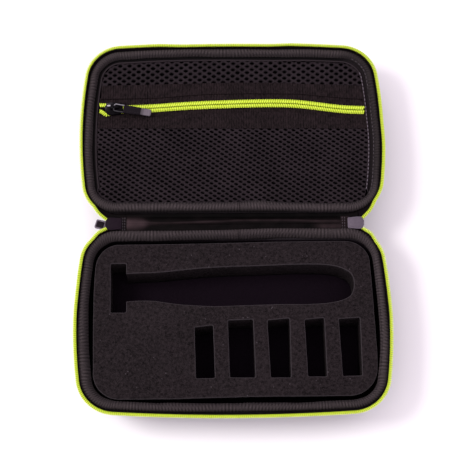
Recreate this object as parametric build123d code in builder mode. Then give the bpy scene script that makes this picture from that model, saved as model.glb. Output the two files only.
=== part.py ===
from build123d import *
import math
import os

# Electric shaver hard case: moulded clamshell with a two-way zip, lying open flat.
# Millimetres, +Z up.  Origin on the floor, under the middle of the fabric spine.
# The base half lies on the -Y side, the lid half on the +Y side, the spine runs along X.

# ---------------------------------------------------------------- driving dimensions
RIM_W = 244.0            # over the zip coils at their widest
BOW_X = 7.4              # outward bow of each short side, included in RIM_W
BOW_Y = 4.4              # outward bow of the far side
RIM_NEAR = 5.0           # spine centre line to the near edge of the rim outline
RIM_DEPTH = 146.0        # near edge to far corners of the rim outline
RIM_R_NEAR = 28.5        # corner radii in plan, beside the spine and at the far side
RIM_R_FAR = 30.2

SHELL_H = 31.0           # top edge of each moulded shell
SHELL_IN = 4.6           # rim outline to the shell's outer face, at its top
LAND_Z = 24.0            # the wall is upright above this height
DRAFT_IN = 3.9           # extra inset of the wall at the floor
SHELL_T = 3.5            # moulded foam board with its cloth
SHELL_EDGE_R = 12.0      # radius along the bottom edge
LINING_T = 0.6
LINING_TOP = 29.8

BIND_IN = 4.6            # binding ridge, from the rim outline
BIND_W = 6.8
BIND_TOP = 35.0
BIND_R = 3.3

TAPE_Z0 = 28.2           # lower edge of the zip tape, lapped on the shell
TAPE_Z1 = 33.0           # the tape flares outward above this
TAPE_Z2 = 36.4
TAPE_T = 0.7
TAPE_OUT = 0.8           # rim outline to the tape's outer face, at its top
COIL_Z0 = 35.9
COIL_Z1 = 38.0
COIL_W = 2.4

FOLD_Y = 7.0             # the two fold lines of the spine
FOLD_Z = 31.3
SPINE_X = 84.0           # half length of the spine cloth
SPINE_HALF = 6.2         # half width of the part between the folds
SPINE_Z = 30.3
CLOTH_T = 0.8
FLAP_Z0 = 24.4

FOAM_TOP = 33.0
FOAM_TAPER = 7.5
FOAM_EDGE_R = 7.0
PAD_Z0 = SHELL_T + LINING_T
PAD_T = 2.0
FOAM_BOT = PAD_Z0 + PAD_T

PANEL_IN = 8.4           # rim outline to the edge of the lid's pocket panel
PANEL_Z = 30.1
PANEL_T = 0.9
ARC_X = -4.35            # the pocket zip follows a flat arc: crown point and radius
ARC_Y = 102.4
ARC_R = 940.0
P_SLIT = 2.2             # room between the two coils, for the slider's bridge
P_COIL = 2.3
P_COIL_T = 2.0
P_TAPE = 8.1             # outer edge of each zip tape, from the zip's centre line
P_BAND = 17.6            # outer edge of the upper band
BAND_Y = 82.6            # lower edge of the lower band

PS_X = -94.9             # pocket slider, centre along X, when the pocket is shut
PS_L = 14.5
PS_HW = 5.3
PS_TRAVEL = 180.0        # along the arc
PS_PIVOT_Z = 36.3

SL_L = 12.5              # main slider length and half width
SL_HW = 5.2
ML_X = -93.6             # left and right main slider, centre along X
MR_X = 97.2
SL_TOP = 33.2            # flat back plate, faces up when the case is open
SL_PLATE = 1.1
SL_BOT = 28.7
PULL_L = 15.6
PULL_W = 8.6
PULL_T = 1.6
PIVOT_Z = 27.0
LEFT_SWING = 80.0        # the left pull stands out by this from hanging straight down

# slots in the foam, as seen from above: corner points, in turn
HEAD_SLOT = [(-95.1, -32.8), (-83.0, -32.8), (-82.4, -72.3), (-94.5, -72.3)]
HANDLE_FAR = [(-84.0, -41.1), (-72.1, -40.6), (-56.6, -40.0), (-33.3, -37.6), (-10.0, -36.0),
              (20.0, -35.1), (50.0, -34.1), (68.0, -34.3), (79.0, -35.4), (87.4, -38.4), (92.3, -42.4),
              (94.1, -50.0)]
HANDLE_NEAR = [(-84.0, -63.5), (-72.0, -62.8), (-60.0, -63.2), (-41.0, -65.9), (-15.0, -67.5),
               (10.0, -66.9), (35.0, -66.1), (58.0, -66.2), (75.0, -65.0), (86.5, -62.2), (92.0, -58.0),
               (94.1, -50.0)]
COMB_SLOTS = [
    [(-29.8, -84.2), (-15.6, -82.7), (-14.2, -124.0), (-28.6, -124.3)],
    [(-4.1, -78.8), (15.3, -78.2), (16.5, -123.8), (-2.8, -123.7)],
    [(26.3, -78.8), (43.4, -77.3), (43.6, -124.0), (28.3, -123.9)],
    [(55.0, -78.6), (70.0, -77.1), (71.0, -123.4), (56.6, -123.3)],
    [(81.3, -78.1), (97.6, -77.0), (97.9, -122.7), (83.1, -123.1)],
]

os.makedirs("parts", exist_ok=True)


def write(builder, label):
    builder.part.label = label
    export_step(builder.part, "parts/" + label + ".step")


def rim_face(side, inset):
    """The rim outline as a flat face, drawn in by inset; side is -1 base, +1 lid."""
    a = RIM_W / 2 - BOW_X
    y0 = side * RIM_NEAR
    y1 = side * (RIM_NEAR + RIM_DEPTH)
    ym = (y0 + y1) / 2
    with BuildSketch() as outline:
        with BuildLine():
            Line((-a, y0), (a, y0))
            ThreePointArc((a, y0), (a + BOW_X, ym), (a, y1))
            ThreePointArc((a, y1), (0, y1 + side * BOW_Y), (-a, y1))
            ThreePointArc((-a, y1), (-a - BOW_X, ym), (-a, y0))
        make_face()
        fillet(outline.vertices().filter_by(lambda v: abs(v.Y) < abs(ym)), RIM_R_NEAR)
        fillet(outline.vertices().filter_by(lambda v: abs(abs(v.Y) - abs(y1)) < 0.01), RIM_R_FAR)
        if inset:
            offset(amount=-inset, kind=Kind.ARC)
    return outline.sketch


def tray(side, grow, z0, z1):
    """The outside of a half drawn in by grow, as a solid from z0 up to z1."""
    drop = DRAFT_IN * (1 - z0 / LAND_Z)
    foot = rim_face(side, SHELL_IN + grow + drop)
    land = rim_face(side, SHELL_IN + grow)
    with BuildPart() as body:
        with BuildSketch(Plane.XY.offset(z0)):
            add(foot)
        with BuildSketch(Plane.XY.offset(LAND_Z)):
            add(land)
        loft(ruled=True)
        with BuildSketch(Plane.XY.offset(LAND_Z)):
            add(land)
        extrude(amount=z1 - LAND_Z)
        fillet(body.faces().sort_by(Axis.Z)[0].edges(), SHELL_EDGE_R - grow)
    return body.part


# ================================================================ both halves
for side, half in ((-1, "base"), (1, "lid")):
    # ---- moulded shell: tray with a drafted wall, an upright rim land, a round bottom edge
    solid = tray(side, 0, 0, SHELL_H)
    hollow = tray(side, SHELL_T, SHELL_T, SHELL_H + 1)
    with BuildPart() as shell:
        add(solid)
        add(hollow, mode=Mode.SUBTRACT)
    write(shell, half + "_shell")

    # ---- thin cloth lining laid on the inside of the shell
    lined = tray(side, SHELL_T, SHELL_T, LINING_TOP)
    room = tray(side, SHELL_T + LINING_T, SHELL_T + LINING_T, SHELL_H + 1)
    with BuildPart() as lining:
        add(lined)
        add(room, mode=Mode.SUBTRACT)
    write(lining, half + "_lining")

    # ---- rolled binding that covers the raw edges all round the rim
    with BuildPart() as binding:
        with BuildSketch(Plane.XY.offset(SHELL_H)):
            add(rim_face(side, BIND_IN))
        extrude(amount=BIND_TOP - SHELL_H)
        with BuildSketch(Plane.XY.offset(SHELL_H)):
            add(rim_face(side, BIND_IN + BIND_W))
        extrude(amount=BIND_TOP - SHELL_H, mode=Mode.SUBTRACT)
        fillet(binding.faces().sort_by(Axis.Z)[-1].edges(), BIND_R)
    write(binding, half + "_binding")

    # ---- room on the spine side, where the zip stops short at the sliders
    with BuildPart() as spine_gap:
        with BuildSketch(Plane.XY.offset(TAPE_Z0 - 2)):
            with Locations(((ML_X + MR_X) / 2, side * 10)):
                Rectangle(MR_X - ML_X + SL_L + 3.0, 26)
        extrude(amount=14)

    # ---- inside of the zip tape
    with BuildPart() as tape_room:
        with BuildSketch(Plane.XY.offset(TAPE_Z0 - 1)):
            add(rim_face(side, SHELL_IN))
        extrude(amount=TAPE_Z1 - TAPE_Z0 + 1)
        with BuildSketch(Plane.XY.offset(TAPE_Z1)):
            add(rim_face(side, SHELL_IN))
        with BuildSketch(Plane.XY.offset(TAPE_Z2)):
            add(rim_face(side, TAPE_OUT + TAPE_T))
        loft(ruled=True)

    # ---- zip tape: upright where it laps the shell, flared above
    with BuildPart() as tape:
        with BuildSketch(Plane.XY.offset(TAPE_Z0)):
            add(rim_face(side, SHELL_IN - TAPE_T))
        extrude(amount=TAPE_Z1 - TAPE_Z0)
        with BuildSketch(Plane.XY.offset(TAPE_Z1)):
            add(rim_face(side, SHELL_IN - TAPE_T))
        with BuildSketch(Plane.XY.offset(TAPE_Z2)):
            add(rim_face(side, TAPE_OUT))
        loft(ruled=True)
        add(tape_room.part, mode=Mode.SUBTRACT)
        add(spine_gap.part, mode=Mode.SUBTRACT)
    write(tape, half + "_zip_tape")

    # ---- one row of the zip's coil, along the edge of the tape
    with BuildPart() as coil:
        with BuildSketch(Plane.XY.offset(TAPE_Z2)):
            add(rim_face(side, 0))
        extrude(amount=COIL_Z1 - TAPE_Z2)
        with BuildSketch(Plane.XY.offset(TAPE_Z2)):
            add(rim_face(side, COIL_W))
        extrude(amount=COIL_Z1 - TAPE_Z2, mode=Mode.SUBTRACT)
        fillet(coil.faces().sort_by(Axis.Z)[-1].edges(), 0.9)
        add(spine_gap.part, mode=Mode.SUBTRACT)
    write(coil, half + "_zip_coil")

    # ---- the spine cloth's flap, sewn down the outside of the shell
    with BuildPart() as flap:
        wall = RIM_NEAR + SHELL_IN
        with BuildSketch(Plane.YZ.offset(-SPINE_X)):
            with BuildLine():
                Polyline((side * wall, FLAP_Z0), (side * wall, SPINE_Z + CLOTH_T),
                         (side * (FOLD_Y + 0.6), SPINE_Z + CLOTH_T), (side * (FOLD_Y + 0.6), SPINE_Z),
                         (side * (wall - CLOTH_T), SPINE_Z), (side * (wall - CLOTH_T), FLAP_Z0),
                         close=True)
            make_face()
        extrude(amount=2 * SPINE_X)
    write(flap, half + "_spine_flap")

# ================================================================ base half
# ---- foam block with slots for the shaver and its combs, sides drawn in towards the floor
with BuildPart() as foam_insert:
    with BuildSketch(Plane.XY.offset(FOAM_TOP)):
        with BuildLine():
            Line((-105.6, -17.4), (105.4, -17.3))
            ThreePointArc((105.4, -17.3), (109.2, -84), (107.2, -138.8))
            ThreePointArc((107.2, -138.8), (0, -140.1), (-107.2, -140.2))
            ThreePointArc((-107.2, -140.2), (-109.1, -84), (-105.6, -17.4))
        make_face()
        fillet(vertices().group_by(Axis.Y)[-1] + vertices().group_by(Axis.Y)[-2], 15.6)
        fillet(vertices().sort_by(Axis.Y)[0:2], 24)
    extrude(amount=-(FOAM_TOP - FOAM_BOT), taper=FOAM_TAPER)
    fillet(foam_insert.faces().sort_by(Axis.Z)[0].edges(), FOAM_EDGE_R)
    with BuildSketch(Plane.XY.offset(FOAM_BOT)):
        with BuildLine():
            Polyline(*HEAD_SLOT, close=True)
        make_face()
        with BuildLine():
            Spline(*HANDLE_FAR, tangents=[(1, 0.02), (0.05, -1)])
            Spline(*HANDLE_NEAR, tangents=[(1, 0.02), (0.05, 1)])
            Line(HANDLE_FAR[0], HANDLE_NEAR[0])
        make_face()
        for corners in COMB_SLOTS:
            with BuildLine():
                Polyline(*corners, close=True)
            make_face()
    extrude(amount=FOAM_TOP - FOAM_BOT, mode=Mode.SUBTRACT)
write(foam_insert, "foam_insert")

# ---- thin pad under the block, the floor of the slots
with BuildPart() as foam_pad:
    with BuildSketch(Plane.XY.offset(PAD_Z0)):
        add(rim_face(-1, SHELL_IN + 18.4))
    extrude(amount=PAD_T)
write(foam_pad, "foam_floor_pad")


# ================================================================ lid half: zipped mesh pocket
def ring(r0, r1, x0=-115.0, x1=115.0):
    """A flat strip that follows the pocket zip, between two offsets from its centre line."""
    cy = ARC_Y - ARC_R
    a0, b0 = ARC_R + r0, ARC_R + r1

    def on(r, x):
        return (x, cy + math.sqrt(r * r - (x - ARC_X) ** 2))

    xm = (x0 + x1) / 2
    with BuildSketch() as strip:
        with BuildLine():
            ThreePointArc(on(a0, x0), on(a0, xm), on(a0, x1))
            Line(on(a0, x1), on(b0, x1))
            ThreePointArc(on(b0, x1), on(b0, xm), on(b0, x0))
            Line(on(b0, x0), on(a0, x0))
        make_face()
    return strip.sketch


# ---- whole panel, cut below into its six cloth pieces
with BuildPart() as panel:
    with BuildSketch(Plane.XY.offset(PANEL_Z)):
        add(rim_face(1, PANEL_IN))
    extrude(amount=PANEL_T)

with BuildPart() as upper_band:
    with BuildSketch(Plane.XY.offset(PANEL_Z)):
        add(ring(P_TAPE, P_BAND, -125, 125))
    extrude(amount=PANEL_T)
    add(panel.part, mode=Mode.INTERSECT)
write(upper_band, "pocket_upper_band")

with BuildPart() as upper_mesh:
    with BuildSketch(Plane.XY.offset(PANEL_Z)):
        add(ring(P_BAND, 70, -125, 125))
    extrude(amount=PANEL_T)
    add(panel.part, mode=Mode.INTERSECT)
write(upper_mesh, "pocket_upper_mesh")

with BuildPart() as upper_tape:
    with BuildSketch(Plane.XY.offset(PANEL_Z)):
        add(ring(P_SLIT / 2, P_TAPE, -125, 125))
    extrude(amount=PANEL_T)
    add(panel.part, mode=Mode.INTERSECT)
write(upper_tape, "pocket_upper_tape")

with BuildPart() as lower_tape:
    with BuildSketch(Plane.XY.offset(PANEL_Z)):
        add(ring(-P_TAPE, -P_SLIT / 2, -125, 125))
    extrude(amount=PANEL_T)
    add(panel.part, mode=Mode.INTERSECT)
write(lower_tape, "pocket_lower_tape")

with BuildPart() as lower_band:
    with BuildSketch(Plane.XY.offset(PANEL_Z)):
        add(ring(-60, -P_TAPE, -125, 125))
        with Locations((0, BAND_Y - 50)):
            Rectangle(300, 100, mode=Mode.SUBTRACT)
    extrude(amount=PANEL_T)
    add(panel.part, mode=Mode.INTERSECT)
write(lower_band, "pocket_lower_band")

with BuildPart() as lower_mesh:
    with BuildSketch(Plane.XY.offset(PANEL_Z)):
        with Locations((0, BAND_Y - 50)):
            Rectangle(300, 100)
    extrude(amount=PANEL_T)
    add(panel.part, mode=Mode.INTERSECT)
write(lower_mesh, "pocket_lower_mesh")

# ---- the pocket zip's two coil rows
COIL_Z = PANEL_Z + PANEL_T
with BuildPart() as upper_coil:
    with BuildSketch(Plane.XY.offset(COIL_Z)):
        add(ring(P_SLIT / 2, P_SLIT / 2 + P_COIL, -106.6, 108.0))
    extrude(amount=P_COIL_T)
write(upper_coil, "pocket_upper_coil")

with BuildPart() as lower_coil:
    with BuildSketch(Plane.XY.offset(COIL_Z)):
        add(ring(-P_SLIT / 2 - P_COIL, -P_SLIT / 2, -106.6, 108.0))
    extrude(amount=P_COIL_T)
write(lower_coil, "pocket_lower_coil")

# ---- pocket slider
def arc_point(x):
    return ARC_Y - ARC_R + math.sqrt(ARC_R ** 2 - (x - ARC_X) ** 2)


PS_Y = arc_point(PS_X)
ps_turn = math.degrees(math.asin((PS_X - ARC_X) / ARC_R))     # about -5.5, so the zip climbs to +X


def slider_plane(z):
    """Plane at height z with its x axis along the zip, at the pocket slider's centre."""
    t = math.radians(-ps_turn)
    return Plane(origin=(PS_X, PS_Y, z), x_dir=(math.cos(t), math.sin(t), 0), z_dir=(0, 0, 1))


with BuildPart() as pocket_slider:
    # plate above the coils, with a side wall down each side
    with BuildSketch(slider_plane(COIL_Z + P_COIL_T + 0.35)):
        Rectangle(PS_L, 2 * PS_HW)
        fillet(vertices(), 2.4)
    extrude(amount=1.05)
    with BuildSketch(slider_plane(COIL_Z + 0.35)):
        with Locations((0, PS_HW - 0.75), (0, -PS_HW + 0.75)):
            Rectangle(PS_L - 4.8, 1.5)
    extrude(amount=P_COIL_T + 0.2)
    # bridge between the coils, and the plate below the tapes
    with BuildSketch(slider_plane(PANEL_Z - 0.5)):
        with Locations((-4.6, 0)):
            Rectangle(2.6, 1.5)
    extrude(amount=PANEL_T + P_COIL_T + 1.0)
    with BuildSketch(slider_plane(PANEL_Z - 1.4)):
        Rectangle(PS_L - 1.0, 2 * PS_HW - 1.6)
        fillet(vertices(), 2.2)
    extrude(amount=1.05)
    # arch on top for the pull
    with BuildSketch(Plane(origin=slider_plane(0).origin, x_dir=slider_plane(0).x_dir,
                           z_dir=-slider_plane(0).y_dir)):
        with Locations((0.4, COIL_Z + P_COIL_T + 1.2 + 1.9)):
            Rectangle(7.6, 3.8)
            Rectangle(5.8, 2.7, mode=Mode.SUBTRACT)
    extrude(amount=1.1, both=True)
write(pocket_slider, "pocket_slider")

# ---- pocket pull: wire loop through the arch, and a soft tab with a moulded end
PULL_YAW = -11.0


def pull_plane(z):
    t = math.radians(PULL_YAW)
    p = slider_plane(z)
    o = p.origin + p.x_dir * 0.4
    return Plane(origin=(o.X, o.Y, z), x_dir=(math.cos(t), math.sin(t), 0), z_dir=(0, 0, 1))


with BuildPart() as pocket_loop:
    with BuildSketch(pull_plane(PS_PIVOT_Z - 0.6)):
        with Locations((4.4, 0)):
            Rectangle(10.0, 7.0)
            fillet(vertices(), 1.4)
            Rectangle(7.6, 4.6, mode=Mode.SUBTRACT)
    extrude(amount=1.2)
    fillet(pocket_loop.edges().filter_by(GeomType.LINE).filter_by(Axis.Z, reverse=True), 0.35)
write(pocket_loop, "pocket_pull_loop")

with BuildPart() as pocket_tab:
    with BuildSketch(pull_plane(PS_PIVOT_Z - 0.7)):
        with Locations((15.5, 0)):
            Rectangle(11.9, 5.8)
    extrude(amount=1.4)
write(pocket_tab, "pocket_pull_tab")

with BuildPart() as pocket_tip:
    with BuildSketch(pull_plane(PS_PIVOT_Z - 0.7)):
        with Locations((25.8, 0)):
            Rectangle(8.6, 6.4)
            fillet(vertices(), 0.9)
    extrude(amount=1.4)
write(pocket_tip, "pocket_pull_tip")

# ================================================================ spine
with BuildPart() as spine_cloth:
    with BuildSketch(Plane.XY.offset(SPINE_Z)):
        Rectangle(2 * SPINE_X, 2 * SPINE_HALF)
    extrude(amount=CLOTH_T)
write(spine_cloth, "spine_cloth")

with BuildPart() as spine_lining:
    with BuildSketch(Plane.XY.offset(SPINE_Z + CLOTH_T)):
        Rectangle(2 * SPINE_X, 2 * SPINE_HALF)
    extrude(amount=CLOTH_T)
write(spine_lining, "spine_lining")

for name, cx in (("left", ML_X), ("right", MR_X)):
    out = -1 if cx < 0 else 1
    inner = abs(cx) - SL_L / 2          # |x| of the slider's flat end

    # ---- end of the closed chain: coils inside the slider, tape sewn to the spine
    with BuildPart() as zip_end:
        with BuildSketch(Plane.XY.offset(29.95)):
            with Locations((out * (SPINE_X + inner + 4.0) / 2, 0)):
                Rectangle(inner + 4.0 - SPINE_X, 5.6)
        extrude(amount=2.0)
        with BuildSketch(Plane.XY.offset(SPINE_Z)):
            with Locations((out * (SPINE_X + inner - 0.2) / 2, 0)):
                Rectangle(inner - 0.2 - SPINE_X, 2 * SPINE_HALF)
        extrude(amount=CLOTH_T)
    write(zip_end, name + "_zip_end")

    # ---- cloth tab folded over the chain's end and sewn across
    with BuildPart() as end_tab:
        with BuildSketch(Plane.XY.offset(31.95)):
            with Locations((out * (inner - 0.3 + 80.0) / 2, 0)):
                Rectangle(inner - 0.3 - 80.0, 2 * SPINE_HALF)
        extrude(amount=CLOTH_T)
    write(end_tab, name + "_end_tab")

    # ---- slider: back plate, channel with a bridge, front plate and arch for the pull
    with BuildPart() as slider:
        with BuildSketch(Plane.XY.offset(SL_TOP - SL_PLATE)):
            with Locations((cx, 0)):
                Rectangle(SL_L, 2 * SL_HW)
            fillet(vertices().group_by(Axis.X)[-1 if out > 0 else 0], 4.2)
            fillet(vertices().group_by(Axis.X)[0 if out > 0 else -1], 1.0)
        extrude(amount=SL_PLATE)
        with BuildSketch(Plane.XY.offset(SL_BOT)):
            with Locations((cx, 0)):
                Rectangle(SL_L, 2 * SL_HW - 0.8)
            fillet(vertices().group_by(Axis.X)[-1 if out > 0 else 0], 3.8)
            fillet(vertices().group_by(Axis.X)[0 if out > 0 else -1], 1.0)
        extrude(amount=SL_PLATE)
        with BuildSketch(Plane.XY.offset(SL_BOT + 0.5)):
            with Locations((cx + out * 4.2, 0)):
                Rectangle(2.8, 2.4)
        extrude(amount=SL_TOP - SL_BOT - 1.0)
        with BuildSketch(Plane.XY.offset(SL_TOP - SL_PLATE - 0.7)):
            with Locations((cx - out * 1.4, SL_HW - 0.6), (cx - out * 1.4, -SL_HW + 0.6)):
                Rectangle(SL_L - 5.0, 1.2)
        extrude(amount=1.0)
        with BuildSketch(Plane.XY.offset(SL_BOT + SL_PLATE - 0.3)):
            with Locations((cx - out * 1.4, SL_HW - 1.0), (cx - out * 1.4, -SL_HW + 1.0)):
                Rectangle(SL_L - 5.0, 1.2)
        extrude(amount=1.0)
        with BuildSketch(Plane.XZ):
            with Locations((cx, SL_BOT - 1.8)):
                Rectangle(6.6, 3.8)
            with Locations((cx, PIVOT_Z)):
                Rectangle(4.8, 2.6, mode=Mode.SUBTRACT)
        extrude(amount=1.0, both=True)
    write(slider, name + "_slider")

    # ---- pull: flat tab with a window, hung on the arch
    swing = math.radians(LEFT_SWING if name == "left" else 0.0)
    along = (out * math.sin(swing), 0, -math.cos(swing))
    with BuildPart() as pull:
        with BuildSketch(Plane(origin=(cx, 0, PIVOT_Z), x_dir=(0, 1, 0), z_dir=(along[2], 0, -along[0]))):
            with Locations((0, PULL_L / 2 - 0.4)):
                Rectangle(PULL_W, PULL_L + 0.8)
            fillet(vertices(), 1.4)
            with Locations((0, 3.2)):
                Rectangle(4.6, 4.8, mode=Mode.SUBTRACT)
        extrude(amount=PULL_T / 2, both=True)
    write(pull, name + "_pull")

print("pocket joint", ARC_X, ARC_Y - ARC_R, "angle", math.degrees(PS_TRAVEL / ARC_R))
print("pocket pull pivot", tuple(round(v, 3) for v in pull_plane(PS_PIVOT_Z).origin),
      "axis", tuple(round(v, 4) for v in pull_plane(PS_PIVOT_Z).y_dir))
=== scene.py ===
import math

import bmesh
import bpy
import numpy as np
from mathutils import Matrix, Vector
from mathutils.geometry import delaunay_2d_cdt


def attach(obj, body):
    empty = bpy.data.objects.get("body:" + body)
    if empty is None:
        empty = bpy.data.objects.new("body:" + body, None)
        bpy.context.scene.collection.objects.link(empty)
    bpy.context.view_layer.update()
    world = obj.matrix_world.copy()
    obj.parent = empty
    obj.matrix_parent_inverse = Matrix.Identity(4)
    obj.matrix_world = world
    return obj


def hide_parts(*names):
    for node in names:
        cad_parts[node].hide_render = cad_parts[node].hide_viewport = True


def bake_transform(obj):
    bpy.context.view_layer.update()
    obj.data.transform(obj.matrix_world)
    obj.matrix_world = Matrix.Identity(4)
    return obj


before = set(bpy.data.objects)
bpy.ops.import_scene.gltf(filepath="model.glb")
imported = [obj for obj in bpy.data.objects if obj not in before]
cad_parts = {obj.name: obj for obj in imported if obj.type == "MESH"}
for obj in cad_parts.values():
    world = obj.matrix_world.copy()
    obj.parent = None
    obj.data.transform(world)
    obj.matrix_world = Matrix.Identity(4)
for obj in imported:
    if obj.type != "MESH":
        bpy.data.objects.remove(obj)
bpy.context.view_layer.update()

MM = 0.001

# ================================================================ measures, in millimetres
RIM_W, BOW_X, BOW_Y = 244.0, 7.4, 4.4
RIM_NEAR, RIM_DEPTH = 5.0, 146.0
R_NEAR, R_FAR = 28.5, 30.2
HALVES = ((-1, "base"), (1, "lid"))


def lin(r, g, b):
    """sRGB 0-255 to linear."""
    out = []
    for c in (r, g, b):
        c /= 255
        out.append(c / 12.92 if c <= 0.04045 else ((c + 0.055) / 1.055) ** 2.4)
    return (*out, 1.0)


# ================================================================ node helper
class Mat:
    """A small builder for a node material on one Principled shader."""

    def __init__(self, name, color, rough, **sockets):
        self.mat = bpy.data.materials.new(name)
        self.mat.use_nodes = True
        self.nt = self.mat.node_tree
        self.bsdf = self.nt.nodes["Principled BSDF"]
        self.bsdf.inputs["Base Color"].default_value = color
        self.bsdf.inputs["Roughness"].default_value = rough
        for k, v in sockets.items():
            self.bsdf.inputs[k.replace("_", " ")].default_value = v
        self.color = color

    def node(self, kind, **props):
        n = self.nt.nodes.new(kind)
        for k, v in props.items():
            setattr(n, k, v)
        return n

    def put(self, socket, value):
        if hasattr(value, "is_output"):
            self.nt.links.new(value, socket)
        elif value is not None:
            socket.default_value = value

    def math(self, op, a, b=None, c=None, clamp=False):
        n = self.node("ShaderNodeMath", operation=op, use_clamp=clamp)
        self.put(n.inputs[0], a)
        self.put(n.inputs[1], b)
        self.put(n.inputs[2], c)
        return n.outputs[0]

    def obj(self):
        return self.node("ShaderNodeTexCoord").outputs["Object"]

    def uv(self):
        n = self.node("ShaderNodeUVMap")
        n.uv_map = "strip"
        return n.outputs["UV"]

    def axes(self, vector):
        n = self.node("ShaderNodeSeparateXYZ")
        self.put(n.inputs[0], vector)
        return n.outputs[0], n.outputs[1], n.outputs[2]

    def scaled(self, vector, s):
        n = self.node("ShaderNodeVectorMath", operation="MULTIPLY")
        self.put(n.inputs[0], vector)
        n.inputs[1].default_value = s if isinstance(s, tuple) else (s, s, s)
        return n.outputs[0]

    def noise(self, vector, scale, detail=2.0, rough=0.5, distort=0.0):
        n = self.node("ShaderNodeTexNoise")
        self.put(n.inputs["Vector"], vector)
        n.inputs["Scale"].default_value = scale
        n.inputs["Detail"].default_value = detail
        n.inputs["Roughness"].default_value = rough
        n.inputs["Distortion"].default_value = distort
        return n.outputs["Fac"]

    def voronoi(self, vector, scale, feature="F1", rand=1.0):
        n = self.node("ShaderNodeTexVoronoi", feature=feature)
        self.put(n.inputs["Vector"], vector)
        n.inputs["Scale"].default_value = scale
        n.inputs["Randomness"].default_value = rand
        return n.outputs["Distance"]

    def ramp(self, fac, stops):
        n = self.node("ShaderNodeValToRGB")
        self.put(n.inputs[0], fac)
        e = n.color_ramp.elements
        while len(e) < len(stops):
            e.new(0.5)
        for el, (p, c) in zip(e, stops):
            el.position = p
            el.color = c if isinstance(c, tuple) else (c, c, c, 1)
        return n.outputs[0]

    def mix(self, fac, a, b, blend="MIX"):
        n = self.node("ShaderNodeMix", data_type="RGBA", blend_type=blend)
        self.put(n.inputs[0], fac)
        self.put(n.inputs[6], a)
        self.put(n.inputs[7], b)
        return n.outputs[2]

    def map(self, fac, lo, hi, a=0.0, b=1.0):
        n = self.node("ShaderNodeMapRange")
        self.put(n.inputs[0], fac)
        n.inputs[1].default_value, n.inputs[2].default_value = a, b
        n.inputs[3].default_value, n.inputs[4].default_value = lo, hi
        return n.outputs[0]

    def attr(self, name):
        n = self.node("ShaderNodeAttribute", attribute_type="GEOMETRY")
        n.attribute_name = name
        return n.outputs["Fac"]

    def shade(self, fac, lo, hi):
        """Base colour times a factor that runs from lo to hi with fac."""
        f = self.map(fac, lo, hi)
        f.node.clamp = False
        f = self.math("MAXIMUM", f, 0.03)
        n = self.node("ShaderNodeVectorMath", operation="SCALE")
        n.inputs[0].default_value = self.color[:3]
        self.put(n.inputs["Scale"], f)
        self.nt.links.new(n.outputs[0], self.bsdf.inputs["Base Color"])
        return n.outputs[0]

    def paint(self, color):
        self.put(self.bsdf.inputs["Base Color"], color)

    def bump(self, height, strength, dist):
        n = self.node("ShaderNodeBump")
        n.inputs["Strength"].default_value = strength
        n.inputs["Distance"].default_value = dist * MM
        self.put(n.inputs["Height"], height)
        self.put(self.bsdf.inputs["Normal"], n.outputs[0])

    def rough(self, fac, lo, hi):
        self.put(self.bsdf.inputs["Roughness"], self.map(fac, lo, hi))


def weave(m, vec, pitch_u, pitch_v):
    """Plain weave height field, 0 to 1, from a vector in millimetres."""
    u, v, _ = m.axes(vec)
    cu = m.math("MULTIPLY", u, math.pi / pitch_u)
    cv = m.math("MULTIPLY", v, math.pi / pitch_v)
    su = m.math("ABSOLUTE", m.math("SINE", cu))
    sv = m.math("ABSOLUTE", m.math("SINE", cv))
    # over and under: the sign of the product picks which yarn lies on top
    over = m.math("MULTIPLY", m.math("SINE", cu), m.math("SINE", cv))
    pick = m.math("GREATER_THAN", m.math("SINE", m.math("MULTIPLY", m.math("ADD", cu, cv), 0.5)), 0.0)
    a = m.math("MULTIPLY", su, m.math("SUBTRACT", 1.0, m.math("MULTIPLY", sv, 0.35)))
    b = m.math("MULTIPLY", sv, m.math("SUBTRACT", 1.0, m.math("MULTIPLY", su, 0.35)))
    n = m.node("ShaderNodeMix", data_type="FLOAT")
    m.put(n.inputs[0], m.map(over, 0.0, 1.0, -0.4, 0.4))
    m.put(n.inputs[2], a)
    m.put(n.inputs[3], b)
    return n.outputs[0]


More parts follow.
